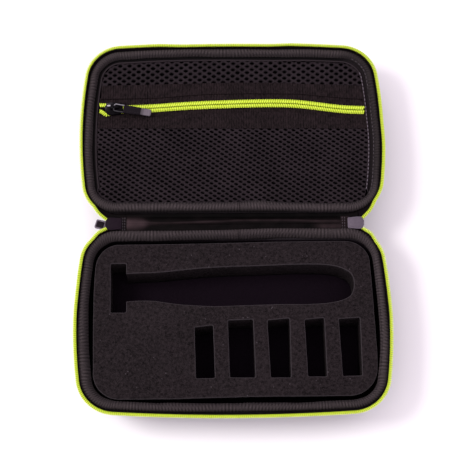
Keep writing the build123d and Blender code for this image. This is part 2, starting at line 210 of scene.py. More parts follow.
# ================================================================ materials
def build_materials():
    M = {}
    # moulded shell cloth, plain weave
    m = Mat("shell_cloth", lin(36, 31, 35), 0.78, Specular_IOR_Level=0.10)
    w = weave(m, m.uv(), 0.62, 0.62)
    n = m.noise(m.uv(), 0.9, 3.0)
    m.shade(m.math("ADD", m.math("MULTIPLY", w, 0.65), m.math("MULTIPLY", n, 0.35)), 0.45, 1.45)
    m.bump(m.math("ADD", w, m.math("MULTIPLY", n, 0.3)), 0.75, 0.16)
    m.rough(n, 0.68, 0.88)
    M["shell"] = m.mat
    # lining
    m = Mat("lining_cloth", lin(14, 9, 13), 0.9, Specular_IOR_Level=0.03)
    n = m.noise(m.obj(), 900.0, 2.0)
    m.shade(n, 0.6, 1.4)
    m.bump(n, 0.4, 0.1)
    M["lining"] = m.mat
    # ribbed binding
    m = Mat("binding_grosgrain", lin(54, 47, 49), 0.85, Specular_IOR_Level=0.05)
    rib = m.attr("rib")
    fine = weave(m, m.uv(), 0.42, 0.6)
    n = m.noise(m.uv(), 0.35, 3.0)
    fuzz = m.noise(m.uv(), 1.3, 3.0, 0.7)
    u_, v_, _w = m.axes(m.uv())
    # twisted yarn: short slanting strokes across each rib
    lean = m.math("MULTIPLY", m.math("SINE", m.math("MULTIPLY", u_, 0.043)), 1.5)
    twist = m.math("SINE", m.math("ADD", m.math("MULTIPLY", v_, lean), m.math("MULTIPLY", u_, 2 * math.pi / 2.52)))
    cross = m.math("SINE", m.math("ADD", m.math("MULTIPLY", v_, 3.1), m.math("MULTIPLY", u_, 1.7)))
    # painted highlight: sparse pale glints over the ribs; the rib term below paints each rib's crest lighter
    glint = m.math("MULTIPLY", m.map(fuzz, 0.0, 1.0, 0.53, 0.74), m.map(cross, 0.0, 1.0, -0.3, 1.0))
    k = m.math("ADD", m.math("MULTIPLY", rib, 0.22), m.math("ADD", m.math("MULTIPLY", m.map(twist, 0.0, 1.0, -1.0, 1.0), 0.2), m.math("ADD", m.math("MULTIPLY", fine, 0.08), m.math("ADD", m.math("MULTIPLY", n, 0.22), m.math("MULTIPLY", fuzz, 0.28)))))
    k = m.math("ADD", m.map(k, 0.06, 1.7, 0.1, 0.92), m.math("MULTIPLY", glint, 1.1))
    # times the painted light and shade laid on the binding's mesh
    m.shade(m.math("MULTIPLY", k, m.attr("tone")), 0.0, 1.0)
    m.bump(m.math("ADD", fine, fuzz), 0.5, 0.12)
    m.rough(n, 0.7, 0.92)
    M["binding"] = m.mat
    # zip tape
    m = Mat("zip_tape_weave", lin(14, 9, 12), 0.86, Specular_IOR_Level=0.04)
    w = weave(m, m.uv(), 0.45, 0.36)
    n = m.noise(m.uv(), 0.8, 2.0)
    m.shade(m.math("ADD", m.math("MULTIPLY", w, 0.7), m.math("MULTIPLY", n, 0.3)), 0.45, 1.5)
    m.bump(w, 0.7, 0.12)
    M["tape"] = m.mat
    # lime nylon coils
    m = Mat("lime_nylon", lin(220, 240, 66), 0.4, Specular_IOR_Level=0.25)
    n = m.noise(m.obj(), 260.0, 3.0)
    f = m.noise(m.obj(), 2600.0, 2.0)
    c = m.ramp(n, [(0.25, lin(214, 233, 62)), (0.55, lin(223, 242, 74)), (0.85, lin(231, 248, 94))])
    # scaled by the painted light and shade of each coil turn
    sc = m.node("ShaderNodeVectorMath", operation="SCALE")
    m.put(sc.inputs[0], c)
    m.put(sc.inputs["Scale"], m.attr("tone"))
    m.paint(sc.outputs[0])
    m.rough(f, 0.3, 0.48)
    m.bump(f, 0.25, 0.05)
    M["lime"] = m.mat
    # lime sewing thread down the coils
    m = Mat("lime_thread", lin(168, 186, 44), 0.62, Specular_IOR_Level=0.2)
    f = m.noise(m.obj(), 3200.0, 2.0)
    m.shade(f, 0.75, 1.25)
    m.bump(f, 0.5, 0.05)
    M["lime_thread"] = m.mat
    # spine cloth, times the painted light and shade laid on its mesh
    m = Mat("spine_cloth_satin", lin(29, 21, 23), 0.66, Specular_IOR_Level=0.04)
    w = weave(m, m.uv(), 0.4, 0.4)
    n = m.noise(m.uv(), 0.12, 3.0)
    k = m.math("ADD", m.math("MULTIPLY", w, 0.45), m.math("MULTIPLY", n, 0.55))
    m.shade(m.math("MULTIPLY", m.map(k, 0.3, 1.7, 0.15, 0.85), m.attr("tone")), 0.0, 1.0)
    m.bump(m.math("ADD", m.math("MULTIPLY", w, 0.4), n), 0.6, 0.16)
    m.rough(n, 0.5, 0.75)
    M["spine"] = m.mat
    # knitted mesh: crest paints the strand tops lighter and the sides of the holes darker, painted light and shade
    m = Mat("mesh_knit", lin(36, 29, 33), 0.84, Specular_IOR_Level=0.05)
    crest = m.attr("crest")
    yarn = m.noise(m.scaled(m.obj(), (1.0, 2.2, 1.0)), 800.0, 3.0, 0.7)
    n = m.noise(m.obj(), 45.0, 2.0)
    k = m.math("ADD", m.math("MULTIPLY", m.math("MULTIPLY", crest, crest), 0.5), m.math("ADD", m.math("MULTIPLY", m.map(yarn, 0.0, 1.0, 0.3, 0.7), 0.35), m.math("MULTIPLY", m.map(n, 0.0, 1.0, 0.3, 0.7), 0.2)))
    m.shade(k, -0.12, 1.45)
    m.bump(yarn, 0.6, 0.12)
    M["mesh"] = m.mat
    # plain bands of the pocket
    m = Mat("band_cloth", lin(25, 18, 20), 0.8, Specular_IOR_Level=0.05)
    w = weave(m, m.uv(), 0.5, 0.42)
    n = m.noise(m.uv(), 0.08, 3.0)
    u_, v_, _w = m.axes(m.uv())
    cols = m.math("ABSOLUTE", m.math("SINE", m.math("MULTIPLY", u_, math.pi / 2.0)))
    grain = m.noise(m.scaled(m.uv(), (0.8, 0.28, 1.0)), 1.0, 3.0, 0.65)
    k = m.math("ADD", m.math("MULTIPLY", m.map(grain, 0.0, 1.0, 0.37, 0.63), 0.6), m.math("ADD", m.math("MULTIPLY", cols, 0.3), m.math("MULTIPLY", m.map(n, 0.0, 1.0, 0.35, 0.65), 0.25)))
    m.shade(k, -0.1, 1.7)
    m.bump(m.math("ADD", w, m.math("ADD", m.math("MULTIPLY", cols, 1.2), m.math("MULTIPLY", grain, 0.8))), 0.6, 0.14)
    M["band"] = m.mat
    # foam
    m = Mat("cut_foam", lin(28, 23, 25), 0.93, Specular_IOR_Level=0.04)
    cells = m.voronoi(m.obj(), 1900.0)
    n1 = m.noise(m.obj(), 900.0, 3.0, 0.65)
    n2 = m.noise(m.obj(), 22.0, 2.0)
    n3 = m.noise(m.obj(), 420.0, 2.0)
    edge = m.attr("edge")
    speck = m.map(m.voronoi(m.obj(), 300.0), 1.0, 0.0, 0.05, 0.16)
    pick = m.math("GREATER_THAN", m.noise(m.obj(), 120.0, 1.0), 0.6)
    k = m.math("ADD", m.math("MULTIPLY", n1, 0.5), m.math("ADD", m.math("MULTIPLY", n3, 0.4), m.math("ADD", m.math("MULTIPLY", cells, 0.25), m.math("MULTIPLY", n2, 0.12))))
    dark = m.shade(m.map(k, 0.0, 1.0, 0.42, 0.80), 0.0, 1.95)
    # painted highlight: lighter along the cut edges; then sparse pale specks over the foam
    lit = m.mix(m.math("MULTIPLY", edge, 0.75), dark, lin(66, 60, 64))
    lit = m.mix(m.math("MULTIPLY", m.math("MULTIPLY", m.math("MAXIMUM", m.math("MINIMUM", speck, 1.0), 0.0), pick), 0.55), lit, lin(96, 88, 94))
    m.paint(lit)
    m.bump(m.math("ADD", n1, m.math("MULTIPLY", cells, 0.8)), 0.9, 0.28)
    M["foam"] = m.mat
    # pad under the foam
    m = Mat("pad_foam", lin(19, 12, 19), 0.95, Specular_IOR_Level=0.03)
    n1 = m.noise(m.obj(), 1100.0, 3.0, 0.65)
    m.shade(n1, 0.5, 1.5)
    m.bump(n1, 0.8, 0.2)
    M["pad"] = m.mat
    # satin grey zinc
    m = Mat("satin_zinc", lin(92, 82, 93), 0.45, Metallic=0.6, Specular_IOR_Level=0.3)
    n = m.noise(m.obj(), 420.0, 4.0)
    f = m.noise(m.scaled(m.obj(), (1.0, 9.0, 1.0)), 900.0, 2.0)
    m.shade(m.math("ADD", m.math("MULTIPLY", n, 0.6), m.math("MULTIPLY", f, 0.4)), 0.72, 1.22)
    m.rough(n, 0.32, 0.52)
    m.bump(f, 0.2, 0.03)
    M["zinc"] = m.mat
    # black painted zinc
    m = Mat("black_enamel", lin(8, 6, 9), 0.3, Specular_IOR_Level=0.04)
    n = m.noise(m.obj(), 500.0, 3.0)
    # painted highlight: pale grey laid on where the highlight weight marks chosen bevel edges, the raised nub and the
    # wire
    highlight_mask = m.math("MULTIPLY", m.attr("worn"), m.map(n, 0.6, 1.0, 0.4, 0.6))
    m.paint(m.mix(highlight_mask, m.shade(n, 0.7, 1.4), lin(196, 188, 198)))
    m.rough(n, 0.26, 0.42)
    m.bump(n, 0.12, 0.04)
    M["enamel"] = m.mat
    # dark satin metal: a painted-shade copy of the zinc for the left slider's body; also the sunk middles of the pulls
    m = Mat("dark_satin_metal_and_shade", lin(24, 15, 23), 0.5, Metallic=0.0, Specular_IOR_Level=0.05)
    n = m.noise(m.obj(), 420.0, 3.0)
    m.shade(n, 0.75, 1.3)
    m.rough(n, 0.38, 0.55)
    m.bump(n, 0.15, 0.03)
    M["dark_metal"] = m.mat
    # pull tip rubber
    m = Mat("grey_soft_plastic", lin(86, 77, 85), 0.5, Specular_IOR_Level=0.2)
    n = m.noise(m.obj(), 700.0, 3.0)
    # times the painted light and shade laid on the tip's mesh
    m.shade(m.math("MULTIPLY", m.map(n, 0.8, 1.2), m.attr("tone")), 0.0, 1.0)
    m.rough(n, 0.42, 0.6)
    m.bump(n, 0.2, 0.04)
    M["tip"] = m.mat
    # strap of the pocket pull
    m = Mat("strap_weave", lin(20, 15, 20), 0.75, Specular_IOR_Level=0.06)
    w = weave(m, m.uv(), 0.4, 0.3)
    m.shade(w, 0.5, 1.6)
    m.bump(w, 0.7, 0.12)
    M["strap"] = m.mat
    # sewing thread
    m = Mat("charcoal_thread", lin(40, 34, 38), 0.75, Specular_IOR_Level=0.08)
    f = m.noise(m.scaled(m.obj(), (1.0, 1.0, 1.0)), 3000.0, 2.0)
    m.shade(f, 0.7, 1.35)
    m.bump(f, 0.5, 0.05)
    M["thread"] = m.mat
    m = Mat("pale_thread", lin(98, 88, 97), 0.7, Specular_IOR_Level=0.15)
    f = m.noise(m.obj(), 3000.0, 2.0)
    m.shade(f, 0.7, 1.3)
    m.bump(f, 0.5, 0.05)
    M["pale_thread"] = m.mat
    m = Mat("mid_thread", lin(74, 66, 72), 0.72, Specular_IOR_Level=0.15)
    f = m.noise(m.obj(), 3000.0, 2.0)
    m.shade(f, 0.7, 1.3)
    m.bump(f, 0.5, 0.05)
    M["mid_thread"] = m.mat
    # bound edge of the pocket
    m = Mat("edge_binding_cloth", lin(34, 28, 31), 0.85, Specular_IOR_Level=0.06)
    w = weave(m, m.uv(), 0.5, 0.5)
    # times the painted light and shade laid on the edge's mesh
    m.shade(m.math("MULTIPLY", m.map(w, 0.6, 1.4), m.attr("tone")), 0.0, 1.0)
    m.bump(w, 0.6, 0.1)
    M["edge_tape"] = m.mat
    # floor
    m = Mat("studio_floor", (0.93, 0.885, 0.92, 1), 0.9, Specular_IOR_Level=0.05)
    m.shade(m.noise(m.obj(), 3.0, 2.0), 0.99, 1.01)
    M["floor"] = m.mat
    return M


MATS = build_materials()


# ================================================================ mesh helpers
def finish_mesh(name, verts, faces, mats, body=None, slot=None, uv=None, smooth=True, sharp=None, attrs=None,
                recalc=True, replaces=()):
    """A mesh object from points in millimetres. uv is one pair for each face corner, in face order."""
    me = bpy.data.meshes.new(name)
    me.from_pydata((np.asarray(verts, float) * MM).tolist(), [], [list(map(int, f)) for f in faces])
    if uv is not None:
        layer = me.uv_layers.new(name="strip")
        layer.uv.foreach_set("vector", np.asarray(uv, np.float32).ravel())
    for key, values in (attrs or {}).items():
        at = me.attributes.new(key, "FLOAT", "POINT")
        at.data.foreach_set("value", np.asarray(values, np.float32))
    if smooth:
        me.polygons.foreach_set("use_smooth", np.ones(len(me.polygons), bool))
    if recalc:
        bm = bmesh.new()
        bm.from_mesh(me)
        bmesh.ops.recalc_face_normals(bm, faces=bm.faces)
        bm.to_mesh(me)
        bm.free()
    if sharp is not None:
        me.set_sharp_from_angle(angle=math.radians(sharp))
    ob = bpy.data.objects.new(name, me)
    bpy.context.scene.collection.objects.link(ob)
    for m in mats if isinstance(mats, (list, tuple)) else [mats]:
        me.materials.append(MATS[m])
    if body:
        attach(ob, body)
    if replaces:
        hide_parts(*replaces)
    return ob


def grid_faces(nu, nv, cu, cv):
    i = np.arange(nu if cu else nu - 1)
    j = np.arange(nv if cv else nv - 1)
    I, J = (a.ravel() for a in np.meshgrid(i, j, indexing="ij"))
    I2, J2 = (I + 1) % nu, (J + 1) % nv
    F = np.stack([I * nv + J, I2 * nv + J, I2 * nv + J2, I * nv + J2], -1)
    LU = np.stack([I, I + 1, I + 1, I], -1)
    LV = np.stack([J, J, J + 1, J + 1], -1)
    return F, LU, LV


class Soup:
    """Collects closed shells that make one piece."""

    def __init__(self):
        self.v, self.f, self.uv, self.n, self.at, self.mi = [], [], [], 0, {}, []

    def add(self, verts, faces, uv=None, attrs=None, mi=0):
        verts = np.asarray(verts, float).reshape(-1, 3)
        self.v.append(verts)
        for f in faces:
            self.f.append([int(k) + self.n for k in f])
            self.mi.append(mi)
        corners = sum(len(f) for f in faces)
        self.uv.append(np.zeros((corners, 2)) if uv is None else np.asarray(uv, float).reshape(-1, 2))
        for key in set(self.at) | set(attrs or {}):
            self.at.setdefault(key, [np.zeros(self.n)] if self.n else [])
            self.at[key].append(np.asarray((attrs or {}).get(key, np.zeros(len(verts))), float))
        self.n += len(verts)

    def grid(self, P, cu=False, cv=True, U=None, V=None, caps=True, attrs=None, mi=0):
        """P is (nu, nv, 3); cv closes the profile, cu closes the path, and caps fill the two ends."""
        P = np.asarray(P, float)
        nu, nv = P.shape[:2]
        F, LU, LV = grid_faces(nu, nv, cu, cv)
        if U is None:
            d = np.linalg.norm(np.roll(P[:, 0], -1, 0) - P[:, 0], axis=1)
            U = np.concatenate([[0], np.cumsum(d)])
        if V is None:
            d = np.linalg.norm(np.roll(P[0], -1, 0) - P[0], axis=1)
            V = np.concatenate([[0], np.cumsum(d)])
        U, V = np.asarray(U, float), np.asarray(V, float)
        if len(U) == nu:
            U = np.append(U, 2 * U[-1] - U[-2])
        if len(V) == nv:
            V = np.append(V, 2 * V[-1] - V[-2])
        uv = np.stack([U[LU], V[LV]], -1).reshape(-1, 2)
        faces = F.tolist()
        if caps and cv and not cu:
            a, b = list(range(nv)), [(nu - 1) * nv + k for k in range(nv)]
            faces += [a, b]
            uv = np.concatenate([uv, P[0][:, :2], P[-1][:, :2]])
        self.add(P.reshape(-1, 3), faces, uv, attrs, mi)

    def obj(self, name, mats, **kw):
        attrs = {k: np.concatenate(v) for k, v in self.at.items()}
        ob = finish_mesh(name, np.concatenate(self.v), self.f, mats, uv=np.concatenate(self.uv), attrs=attrs, **kw)
        if any(self.mi):
            ob.data.polygons.foreach_set("material_index", np.array(self.mi, np.int32))
        return ob


def frames(P, ref=(0, 0, 1), closed=False):
    """Unit tangent, side and up vectors along a path."""
    P = np.asarray(P, float)
    if closed:
        T = np.roll(P, -1, 0) - np.roll(P, 1, 0)
    else:
        T = np.gradient(P, axis=0)
    T /= np.linalg.norm(T, axis=1)[:, None] + 1e-12
    R = np.broadcast_to(np.asarray(ref, float), P.shape)
    S = np.cross(T, R)
    S /= np.linalg.norm(S, axis=1)[:, None] + 1e-12
    return T, S, np.cross(S, T)


def tube(P, r, sides=8, ref=(0, 0, 1), closed=False, squash=1.0):
    """Points of a tube along a path: (n, sides, 3)."""
    T, S, B = frames(P, ref, closed)
    a = np.arange(sides) * 2 * math.pi / sides
    r = np.broadcast_to(np.asarray(r, float), (len(P),))
    return (np.asarray(P)[:, None] + r[:, None, None] * (np.cos(a)[None, :, None] * S[:, None]
                                                        + squash * np.sin(a)[None, :, None] * B[:, None]))


def smooth01(t):
    t = np.clip(t, 0, 1)
    return t * t * (3 - 2 * t)


def waves(seed, n=6, lo=20.0, hi=90.0):
    """A smooth field of a few fixed waves over x and y, about -1 to 1."""
    rs = np.random.RandomState(seed)
    k = 2 * math.pi / rs.uniform(lo, hi, n)
    a = rs.uniform(0, 2 * math.pi, n)
    ph = rs.uniform(0, 2 * math.pi, n)
    w = rs.uniform(0.5, 1, n)
    w /= w.sum()

    def f(x, y):
        x, y = np.asarray(x, float), np.asarray(y, float)
        return sum(wi * np.sin(ki * (x * math.cos(ai) + y * math.sin(ai)) + pi) for wi, ki, ai, pi in zip(w, k, a, ph)) * 1.6

    return f


# ================================================================ rim outline of each half
class Rim:
    def __init__(self, side):
        a = RIM_W / 2 - BOW_X
        y0, y1 = RIM_NEAR, RIM_NEAR + RIM_DEPTH
        ym, h = (y0 + y1) / 2, RIM_DEPTH / 2
        rs = (h * h + BOW_X ** 2) / (2 * BOW_X)
        sx = a + BOW_X - rs
        rf = (a * a + BOW_Y ** 2) / (2 * BOW_Y)
        fy = y1 + BOW_Y - rf
        ny = y0 + R_NEAR
        nx = sx + math.sqrt((rs - R_NEAR) ** 2 - (ny - ym) ** 2)
        r1, r2 = rs - R_FAR, rf - R_FAR
        d = math.hypot(sx, ym - fy)
        ex, ey = -sx / d, (fy - ym) / d
        t = (r1 * r1 - r2 * r2 + d * d) / (2 * d)
        hh = math.sqrt(r1 * r1 - t * t)
        cx, cy = max(((sx + t * ex - hh * ey, ym + t * ey + hh * ex), (sx + t * ex + hh * ey, ym + t * ey - hh * ex)),
                     key=lambda p: p[0])
        self.nx, self.ny = nx, ny

        def arc(c, r, p0, p1):
            n = max(8, int(abs(p1 - p0) * r / 0.3))
            q = np.linspace(p0, p1, n)
            u = np.stack([np.cos(q), np.sin(q)], 1)
            return np.array(c) + r * u, -u

        th1 = math.atan2(ny - ym, nx - sx)
        th2 = math.atan2(cy - ym, cx - sx)
        th3 = math.atan2(cy - fy, cx)
        x = np.linspace(0, nx, int(nx / 0.3))
        parts = [(np.stack([x, np.full_like(x, y0)], 1), np.tile([0.0, 1.0], (len(x), 1))),
                 arc((nx, ny), R_NEAR, -math.pi / 2, th1), arc((sx, ym), rs, th1, th2),
                 arc((cx, cy), R_FAR, th2, th3), arc((0, fy), rf, th3, math.pi / 2)]
        P = np.concatenate([p[0] for p in parts])
        N = np.concatenate([p[1] for p in parts])
        P = np.concatenate([P, P[::-1] * [-1, 1]])
        N = np.concatenate([N, N[::-1] * [-1, 1]])
        keep = np.r_[True, np.linalg.norm(np.diff(P, axis=0), axis=1) > 1e-6]
        P, N = P[keep], N[keep]
        P[:, 1] *= side
        N[:, 1] *= side
        self.P, self.N, self.side = P, N, side
        self.S = np.r_[0, np.cumsum(np.linalg.norm(np.diff(P, axis=0), axis=1))]
        self.L = self.S[-1]

    def at(self, s):
        s = np.asarray(s, float)
        p = np.stack([np.interp(s, self.S, self.P[:, k]) for k in (0, 1)], -1)
        n = np.stack([np.interp(s, self.S, self.N[:, k]) for k in (0, 1)], -1)
        return p, n / np.linalg.norm(n, axis=-1, keepdims=True)

    def sweep(self, s, inset, z):
        """inset and z are (ns, nv) or (nv,)."""
        p, n = self.at(s)
        inset = np.broadcast_to(inset, (len(s), np.shape(inset)[-1]))
        z = np.broadcast_to(z, inset.shape)
        return np.concatenate([p[:, None] + n[:, None] * inset[..., None], z[..., None]], -1)

    def s_at_x(self, x):
        """Path lengths where the near corner passes x, on the right (x > 0) or left."""
        i = np.where((self.P[:, 1] * self.side < self.ny) & (np.sign(self.P[:, 0]) == np.sign(x)))[0]
        j = i[np.argmin(np.abs(self.P[i, 0] - x))]
        return self.S[j]


RIMS = {half: Rim(side) for side, half in HALVES}


def stitches(soup, P, N, pitch=3.0, length=2.1, r=0.2, lift=0.12, mi=0):
    """Stitches along a path P with surface normals N: a short thread, dipping at both ends."""
    d = np.r_[0, np.cumsum(np.linalg.norm(np.diff(P, axis=0), axis=1))]
    k = int(d[-1] / pitch)
    t = np.linspace(-0.5, 0.5, 7)
    for i in range(k):
        s = (i + 0.5) * d[-1] / k + t * length
        q = np.stack([np.interp(s, d, P[:, a]) for a in range(3)], 1)
        n = np.stack([np.interp(s, d, N[:, a]) for a in range(3)], 1)
        q = q + n * (lift - (2 * t[:, None]) ** 4 * (lift + r * 1.4))
        T = tube(q, r * np.array([0.6, 0.95, 1, 1, 1, 0.95, 0.6]), 6, ref=n[3])
        soup.grid(T, mi=mi)


# ================================================================ shells and linings
def shell_profile():
    """Outer wall from the bottom edge up to the top of the rim; insets and heights, and the x of the bottom arc's
    centre.
    """
    r, inset = 12.0, 4.6
    drop = 3.9
    # bottom edge arc between the floor and the drafted wall
    slope = math.atan2(drop, 24.0)
    pts = []
    ang = math.pi / 2 - slope
    cz = r
    # centre of the arc touches the floor and the wall
    x_wall_at = lambda z: inset + drop * (1 - z / 24.0)
    cx = x_wall_at(cz) + r / math.cos(slope)
    for q in np.linspace(math.pi / 2, slope, 11):
        pts.append((cx - r * math.cos(q), cz - r * math.sin(q)) if False else (cx - r * math.cos(q - 0), cz - r * math.sin(q)))
    top = [(x_wall_at(16.0), 16.0), (inset + 0.05, 24.0), (inset, 27.5), (inset, 30.4), (inset + 0.5, 31.0)]
    return pts + top, cx


def build_shells():
    for side, half in HALVES:
        rim = RIMS[half]
        s = np.linspace(0, rim.L, 361)[:-1]
        outer, cx = shell_profile()
        outer = np.array(outer)
        inner_pts = []
        r = 8.5
        slope = math.atan2(3.9, 24.0)
        icx = (8.1 + 3.9 * (1 - (3.5 + r) / 24.0)) + r / math.cos(slope)
        for q in np.linspace(slope, math.pi / 2, 7):
            inner_pts.append((icx - r * math.cos(q), 3.5 + r - r * math.sin(q)))
        inner = np.array([(7.6, 31.0), (8.1, 30.4), (8.1, 24.0)] + inner_pts)
        prof = np.concatenate([outer, inner])
        w = waves(11 + side, 5, 60, 160)
        P = rim.sweep(s, prof[:, 0], prof[:, 1])
        soup = Soup()
        U = np.linspace(0, rim.L, 361)
        V = np.r_[0, np.cumsum(np.linalg.norm(np.diff(prof, axis=0), axis=1))]
        nv = len(prof)
        F, LU, LV = grid_faces(len(s), nv, True, False)
        uv = np.stack([U[LU], V[np.minimum(LV, nv - 1)]], -1).reshape(-1, 2)
        verts = [P.reshape(-1, 3)]
        faces = F.tolist()
        uvs = [uv]
        n = P.shape[0] * nv
        c = np.array([0, side * (RIM_NEAR + RIM_DEPTH / 2)])
        # bottom and inside floor: rings drawn in towards the middle
        for ring, level, dish in ((0, 0.0, 0.7), (nv - 1, 3.5, 0.0)):
            prev = np.arange(len(s)) * nv + ring
            base = P[:, ring, :2]
            for k, f in enumerate((0.93, 0.8, 0.62, 0.42, 0.2)):
                q = c + (base - c) * f
                z = level + dish * (1 - f) ** 0.8 * (1 + 0.15 * w(q[:, 0], q[:, 1]))
                verts.append(np.column_stack([q, z]))
                cur = np.arange(len(s)) + n
                n += len(s)
                a, b = prev, np.roll(prev, -1)
                a2, b2 = cur, np.roll(cur, -1)
                quad = np.stack([a, b, b2, a2], 1)
                faces += quad.tolist()
                allv = np.concatenate(verts)
                uvs.append(allv[quad.ravel()][:, :2])
                prev = cur
            verts.append(np.array([[c[0], c[1], level + dish]]))
            allv = np.concatenate(verts)
            tri = np.stack([prev, np.roll(prev, -1), np.full(len(s), n)], 1)
            faces += tri.tolist()
            uvs.append(allv[tri.ravel()][:, :2])
            n += 1
        soup.add(np.concatenate(verts), faces, np.concatenate(uvs))
        soup.obj(half + "_shell_skin", "shell", body=half, slot="shell_cloth", replaces=(half + "_shell",))

        # lining: one sheet on the inside of the shell, turned over at the rim
        r = 7.9
        icx = (8.7 + 3.9 * (1 - (4.1 + r) / 24.0)) + r / math.cos(slope)
        prof = [(8.3, 30.2), (8.75, 29.6), (8.75, 24.0)]
        for q in np.linspace(slope, math.pi / 2, 7):
            prof.append((icx - r * math.cos(q), 4.15 + r - r * math.sin(q)))
        prof = np.array(prof)
        P = rim.sweep(s, prof[:, 0], prof[:, 1])
        nv = len(prof)
        F, LU, LV = grid_faces(len(s), nv, True, False)
        faces = F.tolist()
        verts = [P.reshape(-1, 3)]
        n = len(s) * nv
        prev = np.arange(len(s)) * nv + nv - 1
        base = P[:, -1, :2]
        wl = waves(31 + side, 7, 18, 60)
        for f in (0.95, 0.86, 0.74, 0.6, 0.44, 0.28, 0.12):
            q = c + (base - c) * f
            verts.append(np.column_stack([q, 4.15 + 0.12 * (1 + wl(q[:, 0], q[:, 1]))]))
            cur = np.arange(len(s)) + n
            n += len(s)
            faces += np.stack([prev, np.roll(prev, -1), np.roll(cur, -1), cur], 1).tolist()
            prev = cur
        verts.append(np.array([[c[0], c[1], 4.2]]))
        faces += np.stack([prev, np.roll(prev, -1), np.full(len(s), n)], 1).tolist()
        ob = finish_mesh(half + "_lining_cloth", np.concatenate(verts), faces, "lining", body=half, slot="lining",
                         replaces=(half + "_lining",))
        sol = ob.modifiers.new("thickness", "SOLIDIFY")
        sol.thickness = 0.5 * MM
        sol.offset = 0.0


# ================================================================ binding
RIB = 2.52


def lid_right(p):
    """1 down the lid's right side, 0 elsewhere."""
    x, y = p[:, 0], p[:, 1]
    return smooth01((x - 84) / 24) * smooth01((y - 22) / 22)


def side_shift(half, p, n):
    """How far the binding sits in (+) or out (-) from its usual line at the sides and the far edge, in millimetres."""
    x, y = p[:, 0], np.abs(p[:, 1])
    wl, wr = np.clip(n[:, 0], 0, 1) ** 2, np.clip(-n[:, 0], 0, 1) ** 2
    wf = np.clip(-n[:, 1] * np.sign(p[:, 1]), 0, 1) ** 2
    if half == "base":
        low = 0.9 * smooth01((y - 60) / 40)
        return -wl * (1.7 + low) - wr * (1.5 + low) + wf * 0.7 * np.exp(-((x - 12) / 45) ** 2)
    far = 0.5 + 1.2 * smooth01((x - 30) / 40) + 0.6 * smooth01((-x - 10) / 30)
    return -wl * (1.0 + 0.4 * smooth01((95 - y) / 40)) - wr * (2.4 - 0.9 * smooth01((y - 65) / 30)) - wf * far


def near_shift(half, p, n):
    """The same along the hinge: on the base the binding leans over the hinge, on the lid it keeps back from it."""
    x = p[:, 0]
    wn = np.clip(n[:, 1] * np.sign(p[:, 1]), 0, 1) ** 2
    if half == "base":
        return -wn * (3.5 + 1.2 * smooth01((x + 55) / 110) + 0.5 * np.exp(-((x - 32) / 26) ** 2))
    return wn * (1.7 - 1.2 * smooth01((x - 10) / 70) + 0.6 * np.exp(-((x - 22) / 30) ** 2))


